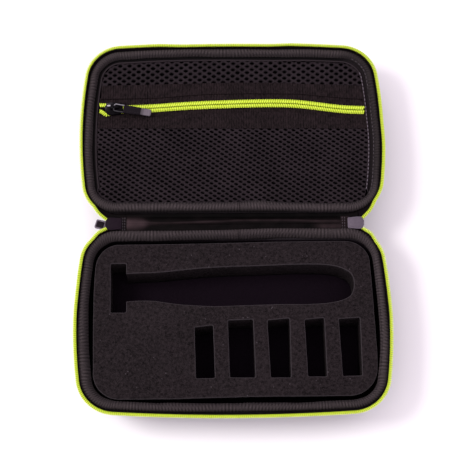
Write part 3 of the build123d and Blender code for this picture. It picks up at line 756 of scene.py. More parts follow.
def build_bindings():
    for side, half in HALVES:
        rim = RIMS[half]
        n_rib = int(rim.L / RIB)
        joint = (5.5 if side > 0 else 5.0)            # where the two ends of the binding meet, along X
        s = np.linspace(joint + 0.22, joint + rim.L - 0.22, n_rib * 8 + 1)
        sm = s % rim.L
        prof = np.array([(4.75, 30.7), (4.5, 31.7), (4.6, 32.9), (5.1, 34.0), (6.1, 34.75), (7.4, 35.0), (8.8, 34.75),
                         (10.0, 34.0), (10.9, 33.0), (11.4, 31.9), (11.35, 31.1), (8.2, 30.9)])
        # outward normals of the profile
        d = np.roll(prof, -1, 0) - np.roll(prof, 1, 0)
        nrm = np.stack([-d[:, 1], d[:, 0]], 1)
        nrm /= np.linalg.norm(nrm, axis=1)[:, None]
        cen = prof.mean(0)
        flip = ((prof - cen) * nrm).sum(1) < 0
        nrm[flip] *= -1
        ph = (np.arange(len(s)) % 4) / 4.0
        ridge = np.array([1.0, 0.93, 0.72, 0.3, 0.0, 0.3, 0.72, 0.93])[np.arange(len(s)) % 8]
        rs = np.random.RandomState(17 + side)
        ridge = ridge * np.repeat(rs.uniform(0.8, 1.0, n_rib + 1), 8)[:len(s)]
        depth = np.array([0, 0.6, 1, 1, 1, 1, 1, 1, 1, 0.8, 0.2, 0]) * 0.28
        p, nn = rim.at(sm)
        wob = waves(5 + side, 6, 25, 80)(p[:, 0], p[:, 1])
        wob2 = waves(9 + side, 6, 14, 40)(p[:, 0], p[:, 1])
        off = (ridge[:, None] - 1) * depth[None]
        inset = prof[None, :, 0] + nrm[None, :, 0] * off
        z = prof[None, :, 1] + nrm[None, :, 1] * off
        inner = np.clip((prof[:, 0] - 6.0) / 5.0, 0, 1)
        inset = inset + (wob[:, None] * 0.35 + wob2[:, None] * 0.18) * inner[None]
        back = near_shift(half, p, nn)[:, None]
        # on the lid the outer edge stays and only the inner slope spreads
        spread = np.clip((prof[None, :, 0] - 4.6) / 6.8, 0, 1) if side > 0 else 1.0
        inset = inset + side_shift(half, p, nn)[:, None] + back * spread
        if side < 0:
            inset = inset - back * 0.25 * (prof[None, :, 0] - 6.0) / 6.8
            t_in = np.clip((prof[None, :, 0] - 4.6) / 6.8, 0, 1)
            low = smooth01((-p[:, 1:2] - 60) / 40)
            inset = inset + np.clip(nn[:, :1], 0, 1) * (0.7 + 1.7 * low) * t_in - np.clip(-nn[:, :1], 0, 1) * 0.8 * low * (1 - t_in)
            # the roll is a little wider at the hinge's left end and narrower right of its middle
            foot = np.where((prof[:, 0] > 11.2), 1.0, 0.0)[None]
            slim = np.clip(-nn[:, 1:2], 0, 1) * np.exp(-((p[:, :1] - 24) / 26) ** 2)
            inset = inset + np.clip(-nn[:, 1:2], 0, 1) * t_in * 0.8 * smooth01((-p[:, :1] - 45) / 20) - slim * 1.4 * t_in * (1 - foot)
            z = z - slim * foot * np.where(prof[:, 1] > 31.5, 0.55, 0.0)[None]
        z = z + (wob2[:, None] * 0.16) * np.clip((prof[None, :, 1] - 31.2) / 2, 0, 1)
        P = rim.sweep(sm, inset, z)
        rib = np.repeat(ridge[:, None], len(prof), 1)
        # painted shade: the lid's binding darker down its right side
        dim = 1 - 0.42 * lid_right(p)[:, None] if side > 0 else np.ones((len(s), 1))
        # painted light: the crest of the roll lighter than its slopes
        crest = np.exp(-((prof[None, :, 0] - 7.2) / 2.6) ** 2)
        tone = (0.62 + 0.5 * crest) * dim
        if side > 0:
            # painted shade on the outer edge where the lid's binding keeps back from the hinge; on the left side the
            # outer slope painted lighter, the inner darker
            tone = tone * (1 - 0.75 * np.clip(back / 1.7, 0, 1) * np.exp(-((prof[None, :, 0] - 4.5) / 1.7) ** 2))
            tone = tone + np.clip(nn[:, :1], 0, 1) * smooth01((95 - p[:, 1:2]) / 40) * (0.6 * np.exp(-((prof[None, :, 0] - 5.0) / 1.3) ** 2)
                                                                                      - 0.12 * np.exp(-((prof[None, :, 0] - 9.5) / 2.5) ** 2))
        else:
            # painted shade on the side towards the hinge and on the near side, painted light and shade on each flank by
            # the way it faces, and painted shade on the slim foot
            hinge = np.clip(-nn[:, 1:2], 0, 1) * (0.12 + 0.3 * np.exp(-((p[:, :1] + 32) / 32) ** 2) * np.clip((prof[None, :, 0] - 7) / 4, 0, 1))
            flank = np.clip(nn[:, :1], 0, 1) * (0.3 * np.exp(-((prof[None, :, 0] - 5.2) / 1.3) ** 2) - 0.28 * np.exp(-((prof[None, :, 0] - 9.5) / 2.5) ** 2))
            flank = flank + np.clip(-nn[:, :1], 0, 1) * (0.3 * np.exp(-((prof[None, :, 0] - 10.0) / 1.8) ** 2) - 0.42 * np.exp(-((prof[None, :, 0] - 5.6) / 2.0) ** 2))
            front = np.clip(nn[:, 1:2], 0, 1) * 0.13
            tone = tone * (1 - hinge - front) * (1 - 0.8 * slim * foot) + flank
        tone = np.clip(tone, 0, 2)
        soup = Soup()
        V = np.r_[0, np.cumsum(np.linalg.norm(np.diff(np.vstack([prof, prof[:1]]), axis=0), axis=1))]
        soup.grid(P, cu=False, cv=True, U=s, V=V, attrs={"rib": rib.ravel(), "tone": tone.ravel()})
        ob = soup.obj(half + "_binding_tape", "binding", slot="binding", replaces=(half + "_binding",))
        if side < 0:
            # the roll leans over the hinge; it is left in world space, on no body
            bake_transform(ob)
        else:
            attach(ob, half)
        # stitches on the inner slope
        th = Soup()
        ss = np.linspace(0, rim.L, 1400)
        q, nn = rim.at(ss % rim.L)
        w1 = waves(5 + side, 6, 25, 80)(q[:, 0], q[:, 1]) * 0.35
        w1 = w1 + side_shift(half, q, nn) + near_shift(half, q, nn)
        path = np.column_stack([q + nn * (10.15 + w1)[:, None], np.full(len(ss), 33.86)])
        up = np.column_stack([nn * 0.6, np.full(len(ss), 0.8)])
        stitches(th, path, up, 3.1, 2.3, 0.17, 0.1)
        th.obj(half + "_binding_stitches", "thread", body=half, slot="binding")


# ================================================================ rim zip: tape and coils
SLIDER_X = {"left": -93.6, "right": 97.2}
MOUTH = {"left": -100.6, "right": 104.2}


ENDS = {-1: ((105.6, 8.6, 35.2), (101.6, 5.4, 33.3), (98.8, 3.6, 31.9), (96.2, 2.0, 31.0)),
        1: ((108.9, 10.2, 35.4), (105.6, 6.9, 33.6), (102.8, 4.4, 32.1), (99.8, 2.2, 31.0))}
DEPART = {-1: 109.6, 1: 112.6}


def coil_tone(n, q, low=0.5):
    """Painted light on a coil: a painted highlight on the crown of a turn, painted shade in the gaps between turns."""
    return np.tile(low + (1 - low) * np.clip(np.sin(q) * 1.1, 0, 1), n)


def chain_path(half, step):
    """Centre line of a coil row from the right slider round the rim to the left one: points, outward direction,
    the matching point on the shell's wall, and how far the row has left the rim (0 to 1)."""
    rim = RIMS[half]
    side = rim.side
    s = np.arange(0, rim.L, 0.4)
    p, nn = rim.at(s)
    far, wr = np.clip(-nn[:, 1] * side, 0, 1), np.clip(-nn[:, 0], 0, 1) ** 2
    wl = np.clip(nn[:, 0], 0, 1) ** 2
    if side > 0:
        inset = 1.25 + far * (1.35 - 1.15 * smooth01((np.abs(p[:, 0] + 5) - 32) / 25)) - wr * 1.0 * smooth01((90 - p[:, 1]) / 30) * smooth01((p[:, 1] - 18) / 15)
    else:
        inset = 1.25 - 0.5 * far - (0.6 * wr + 0.6 * wl) * smooth01((-p[:, 1] - 50) / 30)
    c = p + nn * inset[:, None]
    near = c[:, 1] * side < 33.0
    keep = {}
    for sgn in (-1, 1):
        m = near & (c[:, 0] * sgn > 60)
        i = np.where(m)[0]
        keep[sgn] = i[np.argmin(np.abs(c[i, 0] * sgn - DEPART[sgn]))]
    i0, i1 = keep[1], keep[-1]
    z = 37.15 - 0.9 * (1 - smooth01((s - s[i0]) / 14.0)) - 0.9 * (1 - smooth01((s[i1] - s) / 14.0))
    body = np.column_stack([c, z])[i0:i1 + 1]
    right = np.array([(x, side * y, h) for x, y, h in ENDS[1]])[::-1]
    left = np.array([(-x, side * y, h) for x, y, h in ENDS[-1]])
    head = catmull(np.vstack([right, body[0], body[4]]), 0.4)
    head = head[:np.argmin(np.linalg.norm(head - body[0], axis=1))]
    tail = catmull(np.vstack([body[-5], body[-1], left]), 0.4)
    tail = tail[np.argmin(np.linalg.norm(tail - body[-1], axis=1)) + 1:]
    C = np.vstack([head, body, tail])
    # the wall beside each point
    w, wn = rim.at(s)
    wall = w + wn * 3.95
    jr = np.argmin(np.abs(wall[:, 0] - 97.0) + 1e3 * ~(near & (wall[:, 0] > 0)))
    jl = np.argmin(np.abs(wall[:, 0] + 93.5) + 1e3 * ~(near & (wall[:, 0] < 0)))
    ws = np.concatenate([np.linspace(s[jr], s[i0], len(head), endpoint=False), s[i0:i1 + 1], np.linspace(s[i1], s[jl], len(tail) + 1)[1:]])
    off = np.concatenate([np.linspace(1, 0, len(head)), np.zeros(len(body)), np.linspace(0, 1, len(tail))])
    d = np.r_[0, np.cumsum(np.linalg.norm(np.diff(C, axis=0), axis=1))]
    n = int(d[-1] / step)
    t = np.linspace(0, d[-1], n + 1)
    ii = lambda A: np.interp(t, d, A)
    C2 = np.column_stack([ii(C[:, 0]), ii(C[:, 1]), ii(C[:, 2])])
    sw = ii(ws)
    wp, wnn = rim.at(sw)
    T = np.gradient(C2[:, :2], axis=0)
    T /= np.linalg.norm(T, axis=1)[:, None]
    out = np.column_stack([T[:, 1], -T[:, 0]])
    mid = n // 2
    if (out[mid] * -wnn[mid]).sum() < 0:
        out = -out
    return t, C2, np.column_stack([out, np.zeros(n + 1)]), np.column_stack([wp, wnn]), ii(off)


def build_rim_zip():
    for side, half in HALVES:
        rim = RIMS[half]
        # coil: a flat helix of nylon with a thread down the middle
        pitch, per = 1.45, 12
        s, C, out, wall, k = chain_path(half, 0.5)
        L = s[-1] - s[0]
        turns = int(L / pitch)
        t = np.linspace(0, 1, turns * per + 1)
        cc = np.stack([np.interp(t * L + s[0], s, C[:, a]) for a in range(3)], 1)
        oo = np.stack([np.interp(t * L + s[0], s, out[:, a]) for a in range(3)], 1)
        kk = np.interp(t * L + s[0], s, k)
        # run in from the mouth, into the slider
        T, _, _ = frames(cc)
        ww = oo - T * (oo * T).sum(1)[:, None]
        ww /= np.linalg.norm(ww, axis=1)[:, None]
        tilt = math.radians(16) * (1 - kk)
        up = np.cross(T, ww)
        up[up[:, 2] < 0] *= -1
        wv = ww * np.cos(tilt)[:, None] + up * np.sin(tilt)[:, None]
        uv_ = up * np.cos(tilt)[:, None] - ww * np.sin(tilt)[:, None]
        a = 2 * math.pi * t * turns
        cw = np.sign(np.cos(a)) * np.abs(np.cos(a)) ** 0.8
        H = cc + wv * (cw * 1.0)[:, None] + uv_ * (np.sin(a) * 0.5)[:, None]
        rad = 0.39 + 0.06 * np.clip(np.cos(a), 0, 1) ** 2
        # reference turned with the helix so that it never lines up with the thread
        Th = np.gradient(H, axis=0)
        Th /= np.linalg.norm(Th, axis=1)[:, None]
        radial = wv * np.cos(a)[:, None] + uv_ * np.sin(a)[:, None]
        S = np.cross(Th, radial)
        S /= np.linalg.norm(S, axis=1)[:, None]
        B = np.cross(S, Th)
        q = np.arange(6) * math.pi / 3
        ring = H[:, None] + rad[:, None, None] * (np.cos(q)[None, :, None] * S[:, None] + np.sin(q)[None, :, None] * B[:, None])
        soup = Soup()
        soup.grid(ring, attrs={"tone": coil_tone(len(H), q)})
        ob = soup.obj(half + "_coil_row", "lime", slot="zip_coil", replaces=(half + "_zip_coil",))
        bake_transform(ob)
        # core cord and the sewing thread
        soup = Soup()
        m = np.arange(0, len(cc), 3)
        soup.grid(tube(cc[m] - wv[m] * 0.25 + uv_[m] * 0.02, 0.36, 6))
        soup.grid(tube(cc[m] - wv[m] * 0.75 + uv_[m] * 0.95, 0.17 + 0.05 * np.cos(a[m] * 1.0), 5))
        ob = soup.obj(half + "_coil_core", "lime_thread", slot="zip_coil")
        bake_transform(ob)

        # tape: from the outside of the shell up to the coil
        s2, C2, out2, wall2, k2 = chain_path(half, 1.2)
        wp, wn = wall2[:, :2], wall2[:, 2:]
        bulge = np.clip(-side_shift(half, wp, wn) - 0.3, 0, 2.4)[:, None]
        low = np.column_stack([wp + wn * 4.3, 28.3 + 1.2 * k2])
        mid = np.column_stack([wp + wn * (4.22 - bulge), 32.6 * (1 - k2) + 30.4 * k2])
        o3 = out2[:, :2]
        dip = 0.74 - 0.25 * k2
        top = C2 + np.column_stack([-o3 * 0.5, -dip])
        edge = C2 + np.column_stack([o3 * 0.35, -dip])
        rows = []
        for f in (0.0, 0.35, 0.7):
            rows.append(low * (1 - f) + mid * f)
        for f in (0.0, 0.22, 0.48, 0.75):
            rows.append(mid * (1 - f) + top * f - np.array([0, 0, 1.0]) * (0.5 * math.sin(f * math.pi)) * k2[:, None])
        rows += [top, edge]
        G = np.stack(rows, 1)
        # thickness: outward normal of the strip
        du = np.gradient(G, axis=0)
        dv = np.gradient(G, axis=1)
        nr = np.cross(du, dv)
        nr /= np.linalg.norm(nr, axis=2)[..., None] + 1e-9
        if (nr[len(nr) // 2, 1, :2] * o3[len(nr) // 2]).sum() < 0:
            nr = -nr
        loop = np.concatenate([G + nr * 0.3, (G - nr * 0.3)[:, ::-1]], 1)
        soup = Soup()
        V = np.r_[0, np.cumsum(np.linalg.norm(np.diff(loop[len(loop) // 2], axis=0), axis=1))]
        soup.grid(loop, cu=False, cv=True, U=s2, V=V)
        ob = soup.obj(half + "_zip_tape_cloth", "tape", slot="zip_tape", replaces=(half + "_zip_tape",))
        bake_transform(ob)
        # the row of stitches that holds the tape to the shell
        th = Soup()
        sx = np.linspace(rim.s_at_x(100.0), rim.s_at_x(-97.0), 1300)
        q, n2 = rim.at(sx)
        path = np.column_stack([q + n2 * 3.95, np.full(len(sx), 29.7)])
        stitches(th, path, np.column_stack([-n2, np.zeros(len(sx))]), 3.2, 2.3, 0.18, 0.1)
        seam = th.obj(half + "_tape_stitches", "thread", body=half, slot="zip_tape")


# ================================================================ foam insert
HEAD_SLOT = [(-95.1, -32.8), (-83.0, -32.8), (-82.4, -72.3), (-94.5, -72.3)]
HANDLE_FAR = [(-84.0, -41.1), (-72.1, -40.6), (-56.6, -40.0), (-33.3, -37.6), (-10.0, -36.0),
              (20.0, -35.1), (50.0, -34.1), (68.0, -34.3), (79.0, -35.4), (87.4, -38.4), (92.3, -42.4),
              (94.1, -50.0)]
HANDLE_NEAR = [(-84.0, -63.5), (-72.0, -62.8), (-60.0, -63.2), (-41.0, -65.9), (-15.0, -67.5),
               (10.0, -66.9), (35.0, -66.1), (58.0, -66.2), (75.0, -65.0), (86.5, -62.2), (92.0, -58.0),
               (94.1, -50.0)]
COMB_SLOTS = [
    [(-29.8, -84.2), (-15.6, -82.7), (-14.2, -124.0), (-28.6, -124.3)],
    [(-4.1, -78.8), (15.3, -78.2), (16.5, -123.8), (-2.8, -123.7)],
    [(26.3, -78.8), (43.4, -77.3), (43.6, -124.0), (28.3, -123.9)],
    [(55.0, -78.6), (70.0, -77.1), (71.0, -123.4), (56.6, -123.3)],
    [(81.3, -78.1), (97.6, -77.0), (97.9, -122.7), (83.1, -123.1)],
]
FOAM_TOP, FOAM_BOT = 33.0, 6.1


def catmull(pts, step, closed=False):
    """Dense points on a centripetal curve through pts."""
    pts = np.asarray(pts, float)
    out = []
    n = len(pts)
    for i in range(n if closed else n - 1):
        p1, p2 = pts[i], pts[(i + 1) % n]
        p0 = pts[i - 1] if (closed or i > 0) else 2 * p1 - p2
        p3 = pts[(i + 2) % n] if (closed or i + 2 < n) else 2 * p2 - p1
        k = max(2, int(np.linalg.norm(p2 - p1) / step))
        t = np.linspace(0, 1, k, endpoint=False)[:, None]
        out.append(0.5 * (2 * p1 + (p2 - p0) * t + (2 * p0 - 5 * p1 + 4 * p2 - p3) * t ** 2 + (3 * p1 - p0 - 3 * p2 + p3) * t ** 3))
    if not closed:
        out.append(pts[-1:])
    return np.concatenate(out)


def round_polygon(pts, r, step=1.0):
    """A closed polygon with small round corners, sampled about every step."""
    pts = np.asarray(pts, float)
    n = len(pts)
    out = []
    for i in range(n):
        a, b, c = pts[i - 1], pts[i], pts[(i + 1) % n]
        u, v = (a - b) / np.linalg.norm(a - b), (c - b) / np.linalg.norm(c - b)
        ang = math.acos(np.clip(u @ v, -1, 1))
        rr = min(r if np.isscalar(r) else r[i], 0.45 * min(np.linalg.norm(a - b), np.linalg.norm(c - b)) * math.tan(ang / 2))
        t = rr / math.tan(ang / 2)
        p, q = b + u * t, b + v * t
        k = max(2, int(rr * (math.pi - ang) / (step * 0.5)))
        for f in np.linspace(0, 1, k + 1):
            m = p * (1 - f) ** 2 + 2 * b * f * (1 - f) + q * f ** 2
            out.append(m)
        nxt = pts[(i + 1) % n]
        # straight run to the next corner
        d = pts[(i + 2) % n]
        u2 = (b - nxt) / np.linalg.norm(b - nxt)
        v2 = (d - nxt) / np.linalg.norm(d - nxt)
        ang2 = math.acos(np.clip(u2 @ v2, -1, 1))
        rr2 = min(r if np.isscalar(r) else r[(i + 1) % n], 0.45 * min(np.linalg.norm(b - nxt), np.linalg.norm(d - nxt)) * math.tan(ang2 / 2))
        e = nxt + u2 * (rr2 / math.tan(ang2 / 2))
        L = np.linalg.norm(e - q)
        k = int(L / step)
        for f in np.linspace(0, 1, max(k, 1) + 1)[1:-1]:
            out.append(q * (1 - f) + e * f)
    return np.array(out)


def loop_normals(P):
    """Left normals of a closed loop."""
    T = np.roll(P, -1, 0) - np.roll(P, 1, 0)
    T /= np.linalg.norm(T, axis=1)[:, None]
    return np.stack([-T[:, 1], T[:, 0]], 1)


def area(P):
    x, y = P[:, 0], P[:, 1]
    return 0.5 * np.sum(x * np.roll(y, -1) - y * np.roll(x, -1))


def inside(P, x, y):
    """Points inside a closed polygon."""
    r = np.zeros(len(x), bool)
    n = len(P)
    for i in range(n):
        x1, y1 = P[i]
        x2, y2 = P[(i + 1) % n]
        c = ((y1 > y) != (y2 > y)) & (x < (x2 - x1) * (y - y1) / (y2 - y1 + 1e-12) + x1)
        r ^= c
    return r


def foam_outline():
    far = catmull([(-105.6, -17.5), (-70, -17.2), (-20, -16.6), (30, -15.4), (75, -15.1), (106.0, -15.4)], 1.2)
    right = catmull([(106.0, -15.4), (107.9, -50), (109.2, -84), (109.9, -112), (107.6, -138.0)], 1.2)
    near = catmull([(107.6, -138.0), (60, -138.6), (25, -138.6), (-10, -139.2), (-50, -140.2), (-106.6, -140.2)], 1.2)
    left = catmull([(-106.6, -140.2), (-107.0, -112), (-107.6, -84), (-107.6, -50), (-105.6, -17.5)], 1.2)
    pts = np.concatenate([far[:-1], right[:-1], near[:-1], left[:-1]])
    # round the four corners by a rolling ball: cut and join with arcs
    corners = [(-105.6, -17.5, 15.6), (106.0, -15.4, 15.6), (107.6, -138.0, 18.5), (-106.6, -140.2, 18.5)]
    out = pts
    for cx, cy, r in corners:
        d = np.linalg.norm(out - (cx, cy), axis=1)
        i = int(np.argmin(d))
        out = np.roll(out, -i, 0)
        L = np.r_[0, np.cumsum(np.linalg.norm(np.diff(out, axis=0), axis=1))]
        tot = L[-1]
        a = np.searchsorted(L, r)
        b = len(out) - np.searchsorted(L[::-1] * -1 + tot, r)
        p, q = out[b - 1], out[a]
        # tangents
        tp = out[b - 1] - out[b - 2]
        tq = out[a + 1] - out[a]
        tp /= np.linalg.norm(tp)
        tq /= np.linalg.norm(tq)
        m = np.array([tp, -(-tq)]).T
        A = np.array([tp, tq]).T
        k = np.linalg.solve(A, q - p)
        apex = p + tp * k[0]
        f = np.linspace(0, 1, int(r * 1.5 / 1.2) + 1)[1:-1, None]
        w = 0.70
        arc = ((1 - f) ** 2 * p + 2 * w * f * (1 - f) * apex + f ** 2 * q) / ((1 - f) ** 2 + 2 * w * f * (1 - f) + f ** 2)
        out = np.concatenate([out[a:b], arc])
    return out


def build_foam():
    outline = foam_outline()
    if area(outline) < 0:
        outline = outline[::-1]
    # the T slot as one loop, counter-clockwise from the handle's far edge at the neck: round the head, along the
    # handle's near edge, round its tip and back
    pts = [(-82.85, -41.1), (-83.0, -32.8), (-95.1, -32.8), (-94.5, -72.3), (-82.4, -72.3), (-82.55, -63.4)]
    hp = round_polygon(np.array(pts), [0.9, 0.9, 0.9, 0.9, 0.9, 0.9], 1.0)
    # cut the head's loop open on the neck line and join the handle
    start = np.argmin(np.linalg.norm(hp - (-82.85, -41.1), axis=1))
    hp = np.roll(hp, -start, 0)
    keep = ~((hp[:, 0] > -82.95) & (hp[:, 1] < -41.1005) & (hp[:, 1] > -63.2))
    hp = hp[keep]
    ring = catmull(list(HANDLE_NEAR[1:]) + list(HANDLE_FAR[1:-1])[::-1], 1.1)
    handle = np.concatenate([[(-81.4, -63.35), (-78.0, -63.1), (-75.0, -62.95)], ring, [(-75.0, -40.75), (-78.0, -40.85), (-81.4, -40.95)]])
    T = np.concatenate([hp, handle])
    if area(T) < 0:
        T = T[::-1]
    # even spacing
    def resample(P, step):
        Q = np.vstack([P, P[:1]])
        d = np.r_[0, np.cumsum(np.linalg.norm(np.diff(Q, axis=0), axis=1))]
        n = int(d[-1] / step)
        t = np.linspace(0, d[-1], n, endpoint=False)
        return np.stack([np.interp(t, d, Q[:, k]) for k in (0, 1)], 1)

    outline = resample(outline, 1.3)
    T = resample(T, 1.0)
    slots = [T]
    for c in COMB_SLOTS:
        P = round_polygon(c, 0.8, 1.0)
        if area(P) < 0:
            P = P[::-1]
        slots.append(resample(P, 1.0))
    w = waves(3, 7, 25, 90)
    w2 = waves(4, 8, 6, 18)

    def top_z(x, y):
        return FOAM_TOP + 0.16 * w(x, y) - 0.1

    def rings(P, sign):
        """Rings from the top surface over the cut edge and down the wall. sign is +1 where the block lies inside the loop."""
        n = loop_normals(P) * sign
        wob = w2(P[:, 0], P[:, 1])[:, None] * 0.10
        # the last number is edge, the weight of the painted highlight along the cut edge
        seq = [(0.75, 0.0, 0.0), (0.32, -0.07, 0.55), (0.06, -0.32, 1.0), (0.0, -0.8, 0.45)]
        out = []
        for inset, dz, e in seq:
            q = P + n * (inset + wob)
            out.append((np.column_stack([q, top_z(P[:, 0], P[:, 1]) + dz]), e))
        return out, n, wob

    verts, faces, edge = [], [], []
    count = 0

    def put(points, e):
        nonlocal count
        verts.append(points)
        edge.append(np.full(len(points), e))
        i = np.arange(len(points)) + count
        count += len(points)
        return i

    def band(a, b):
        faces.extend(np.stack([a, np.roll(a, -1), np.roll(b, -1), b], 1).tolist())

    top_loops = []
    for k, (P, sign) in enumerate([(outline, 1)] + [(S, -1) for S in slots]):
        rg, n, wob = rings(P, sign)
        prev = None
        for pts, e in rg:
            cur = put(pts, e)
            if prev is None:
                top_loops.append((cur, pts[:, :2]))
            else:
                band(prev, cur)
            prev = cur
        taper = math.tan(math.radians(7.5)) if k == 0 else 0.0
        levels = (30.6, 28.0, 24.5, 20.5, 16.5, 12.5, 9.2) if k == 0 else (30.6, 28.0, 24.5, 20.5, 16.5, 12.5, 9.0, 6.15)
        for z in levels:
            inset = (FOAM_TOP - z) * taper
            q = P + n * (inset + wob * (1.0 + 0.8 * math.sin(z * 1.7)))
            cur = put(np.column_stack([q, np.full(len(P), z)]), 0.0)
            band(prev, cur)
            prev = cur
        if k == 0:
            for z, ins in ((7.4, 1.2), (6.5, 3.0), (6.1, 5.2)):
                q = P + n * ((FOAM_TOP - z) * taper + ins)
                cur = put(np.column_stack([q, np.full(len(P), z)]), 0.0)
                band(prev, cur)
                prev = cur
            bottom = [(prev, verts[-1][:, :2])]
        else:
            bottom.append((prev, verts[-1][:, :2]))

    def fill(loops, step, seed, zf, e):
        """Constrained triangulation between an outer loop and holes, with a jittered grid inside."""
        nonlocal count
        pts, idx, edges = [], [], []
        for ids, xy in loops:
            b = len(pts)
            pts += [tuple(p) for p in xy]
            idx += ids.tolist()
            m = len(xy)
            edges += [(b + i, b + (i + 1) % m) for i in range(m)]
        rs = np.random.RandomState(seed)
        x0, y0 = loops[0][1].min(0)
        x1, y1 = loops[0][1].max(0)
        gx, gy = np.meshgrid(np.arange(x0, x1, step), np.arange(y0, y1, step * 0.87))
        gx = gx + (np.arange(gx.shape[0])[:, None] % 2) * step / 2
        g = np.stack([gx.ravel(), gy.ravel()], 1) + rs.uniform(-0.12, 0.12, (gx.size, 2)) * step
        ok = inside(loops[0][1], g[:, 0], g[:, 1])
        for ids, xy in loops[1:]:
            ok &= ~inside(xy, g[:, 0], g[:, 1])
        g = g[ok]
        allb = np.array(pts)
        # keep the grid clear of the loops
        keep = np.ones(len(g), bool)
        for c in range(0, len(allb), 200):
            d = np.linalg.norm(g[:, None] - allb[None, c:c + 200], axis=2).min(1)
            keep &= d > step * 0.6
        g = g[keep]
        nb = len(pts)
        pts += [tuple(p) for p in g]
        res = delaunay_2d_cdt([Vector(p) for p in pts], edges, [], 0, 1e-6)
        vo, fo, orig = res[0], res[2], res[3]
        vo = np.array([tuple(v) for v in vo])
        new = put(np.column_stack([g, zf(g[:, 0], g[:, 1])]), e)
        lookup = {}
        for i, o in enumerate(orig):
            if o:
                k = o[0]
                lookup[i] = idx[k] if k < nb else int(new[k - nb])
        cen = np.array([vo[list(f)].mean(0) for f in fo])
        ok = inside(loops[0][1], cen[:, 0], cen[:, 1])
        for ids, xy in loops[1:]:
            ok &= ~inside(xy, cen[:, 0], cen[:, 1])
        for f, k in zip(fo, ok):
            if k and all(i in lookup for i in f):
                faces.append([lookup[i] for i in f])

    fill(top_loops, 2.6, 7, top_z, 0.0)
    fill(bottom, 8.0, 8, lambda x, y: np.full(len(x), 6.1), 0.0)
    ob = finish_mesh("foam_block", np.concatenate(verts), faces, "foam", body="base", slot="foam",
                     attrs={"edge": np.concatenate(edge)}, replaces=("foam_insert",))

    # floor pad seen at the bottom of the slots
    rim = RIMS["base"]
    s = np.linspace(0, rim.L, 241)[:-1]
    P = rim.sweep(s, np.array([23.4, 23.0, 23.0, 23.5]), np.array([4.2, 4.6, 5.7, 6.08]))
    soup = Soup()
    F, LU, LV = grid_faces(len(s), 4, True, False)
    verts2 = [P.reshape(-1, 3)]
    faces2 = F.tolist()
    n = len(s) * 4
    c = np.array([0, -(RIM_NEAR + RIM_DEPTH / 2)])
    for ring, z in ((3, 6.08), (0, 4.2)):
        prev = np.arange(len(s)) * 4 + ring
        base = P[:, ring, :2]
        for f in (0.85, 0.65, 0.45, 0.25):
            q = c + (base - c) * f
            zz = z + (0.10 * w2(q[:, 0], q[:, 1]) - 0.1 if ring == 3 else 0)
            verts2.append(np.column_stack([q, np.broadcast_to(zz, len(s))]))
            cur = np.arange(len(s)) + n
            n += len(s)
            faces2 += np.stack([prev, np.roll(prev, -1), np.roll(cur, -1), cur], 1).tolist()
            prev = cur
        verts2.append(np.array([[c[0], c[1], z]]))
        faces2 += np.stack([prev, np.roll(prev, -1), np.full(len(s), n)], 1).tolist()
        n += 1
    ob = finish_mesh("foam_floor", np.concatenate(verts2), faces2, "pad", body="base", slot="foam_floor",
                     replaces=("foam_floor_pad",))


# ================================================================ lid pocket
def curve_through(points, sigma=5.0):
    """y(x) through the points, smoothed."""
    P = catmull(points, 0.5)
    x = np.arange(P[0, 0], P[-1, 0], 0.5)
    y = np.interp(x, P[:, 0], P[:, 1])
    k = np.exp(-0.5 * (np.arange(-30, 31) * 0.5 / sigma) ** 2)
    k /= k.sum()
    y2 = np.convolve(np.pad(y, 30, mode="edge"), k, "valid")
    return lambda q: np.interp(q, x, y2)


chain_y = curve_through([(-130, 97.6), (-112, 97.9), (-94.9, 98.0), (-80, 98.25), (-62.7, 99.0), (-43, 100.5), (-24, 101.6), (-4.5, 102.3),
                         (15, 102.9), (32, 103.1), (49, 102.7), (63.6, 101.2), (83, 98.4), (95, 97.2), (112, 96.7), (130, 96.6)], 4.0)
seam_y = curve_through([(-130, 108.2), (-107, 108.3), (-66, 108.9), (-45, 110.3), (-25.5, 112.0), (15, 112.8), (55.8, 112.2), (76, 110.0),
                        (96.4, 108.1), (108.6, 107.6), (130, 107.4)], 5.0)
top_y = curve_through([(-130, 118.0), (-107, 118.2), (-66, 119.1), (0, 120.6), (40, 120.2), (72, 118.8), (107, 117.8), (130, 117.6)], 6.0)
low_y = curve_through([(-130, 83.0), (-106, 83.0), (0, 82.5), (107, 82.1), (130, 82.0)], 6.0)
PANEL_Z0, PANEL_Z1 = 30.15, 31.0


def panel_edge(inset, n=900):
    rim = RIMS["lid"]
    s = np.linspace(0, rim.L, n, endpoint=False)
    p, nn = rim.at(s)
    return p + nn * inset


def panel_inset(p):
    """The panels end under the edge tape at the sides and the far end, and under the binding at the hinge."""
    right = smooth01((p[:, 0] - 84) / 24) * smooth01((p[:, 1] - 22) / 22)
    return 10.7 + 3.2 * smooth01((p[:, 1] - 17) / 14) - right * 2.2 * (1 - 0.4 * smooth01((p[:, 1] - 65) / 30))


def panel_outline(extra=0.0, n=900):
    rim = RIMS["lid"]
    p, nn = rim.at(np.linspace(0, rim.L, n, endpoint=False))
    return p + nn * (panel_inset(p) + extra)[:, None]


EDGE = panel_outline()


GATE = panel_outline(-1.5, 300)


def x_limits(y, edge=None):
    """Left and right x of the panel outline at height y."""
    e = EDGE if edge is None else edge
    a, b = e, np.roll(e, -1, 0)
    xs = []
    for p, q in zip(a, b):
        if (p[1] > y) != (q[1] > y):
            xs.append(p[0] + (q[0] - p[0]) * (y - p[1]) / (q[1] - p[1]))
    return (min(xs), max(xs)) if xs else (0, 0)


def pull_inside(x, y, edge):
    """Moves points that lie outside the outline to its nearest point."""
    out = ~inside(edge, x, y)
    if out.any():
        P = np.stack([x[out], y[out]], 1)
        q = np.empty_like(P)
        for c in range(0, len(P), 500):
            d = np.linalg.norm(P[c:c + 500, None] - edge[None], axis=2)
            q[c:c + 500] = edge[d.argmin(1)]
        x, y = x.copy(), y.copy()
        x[out], y[out] = q[:, 0], q[:, 1]
    return x, y


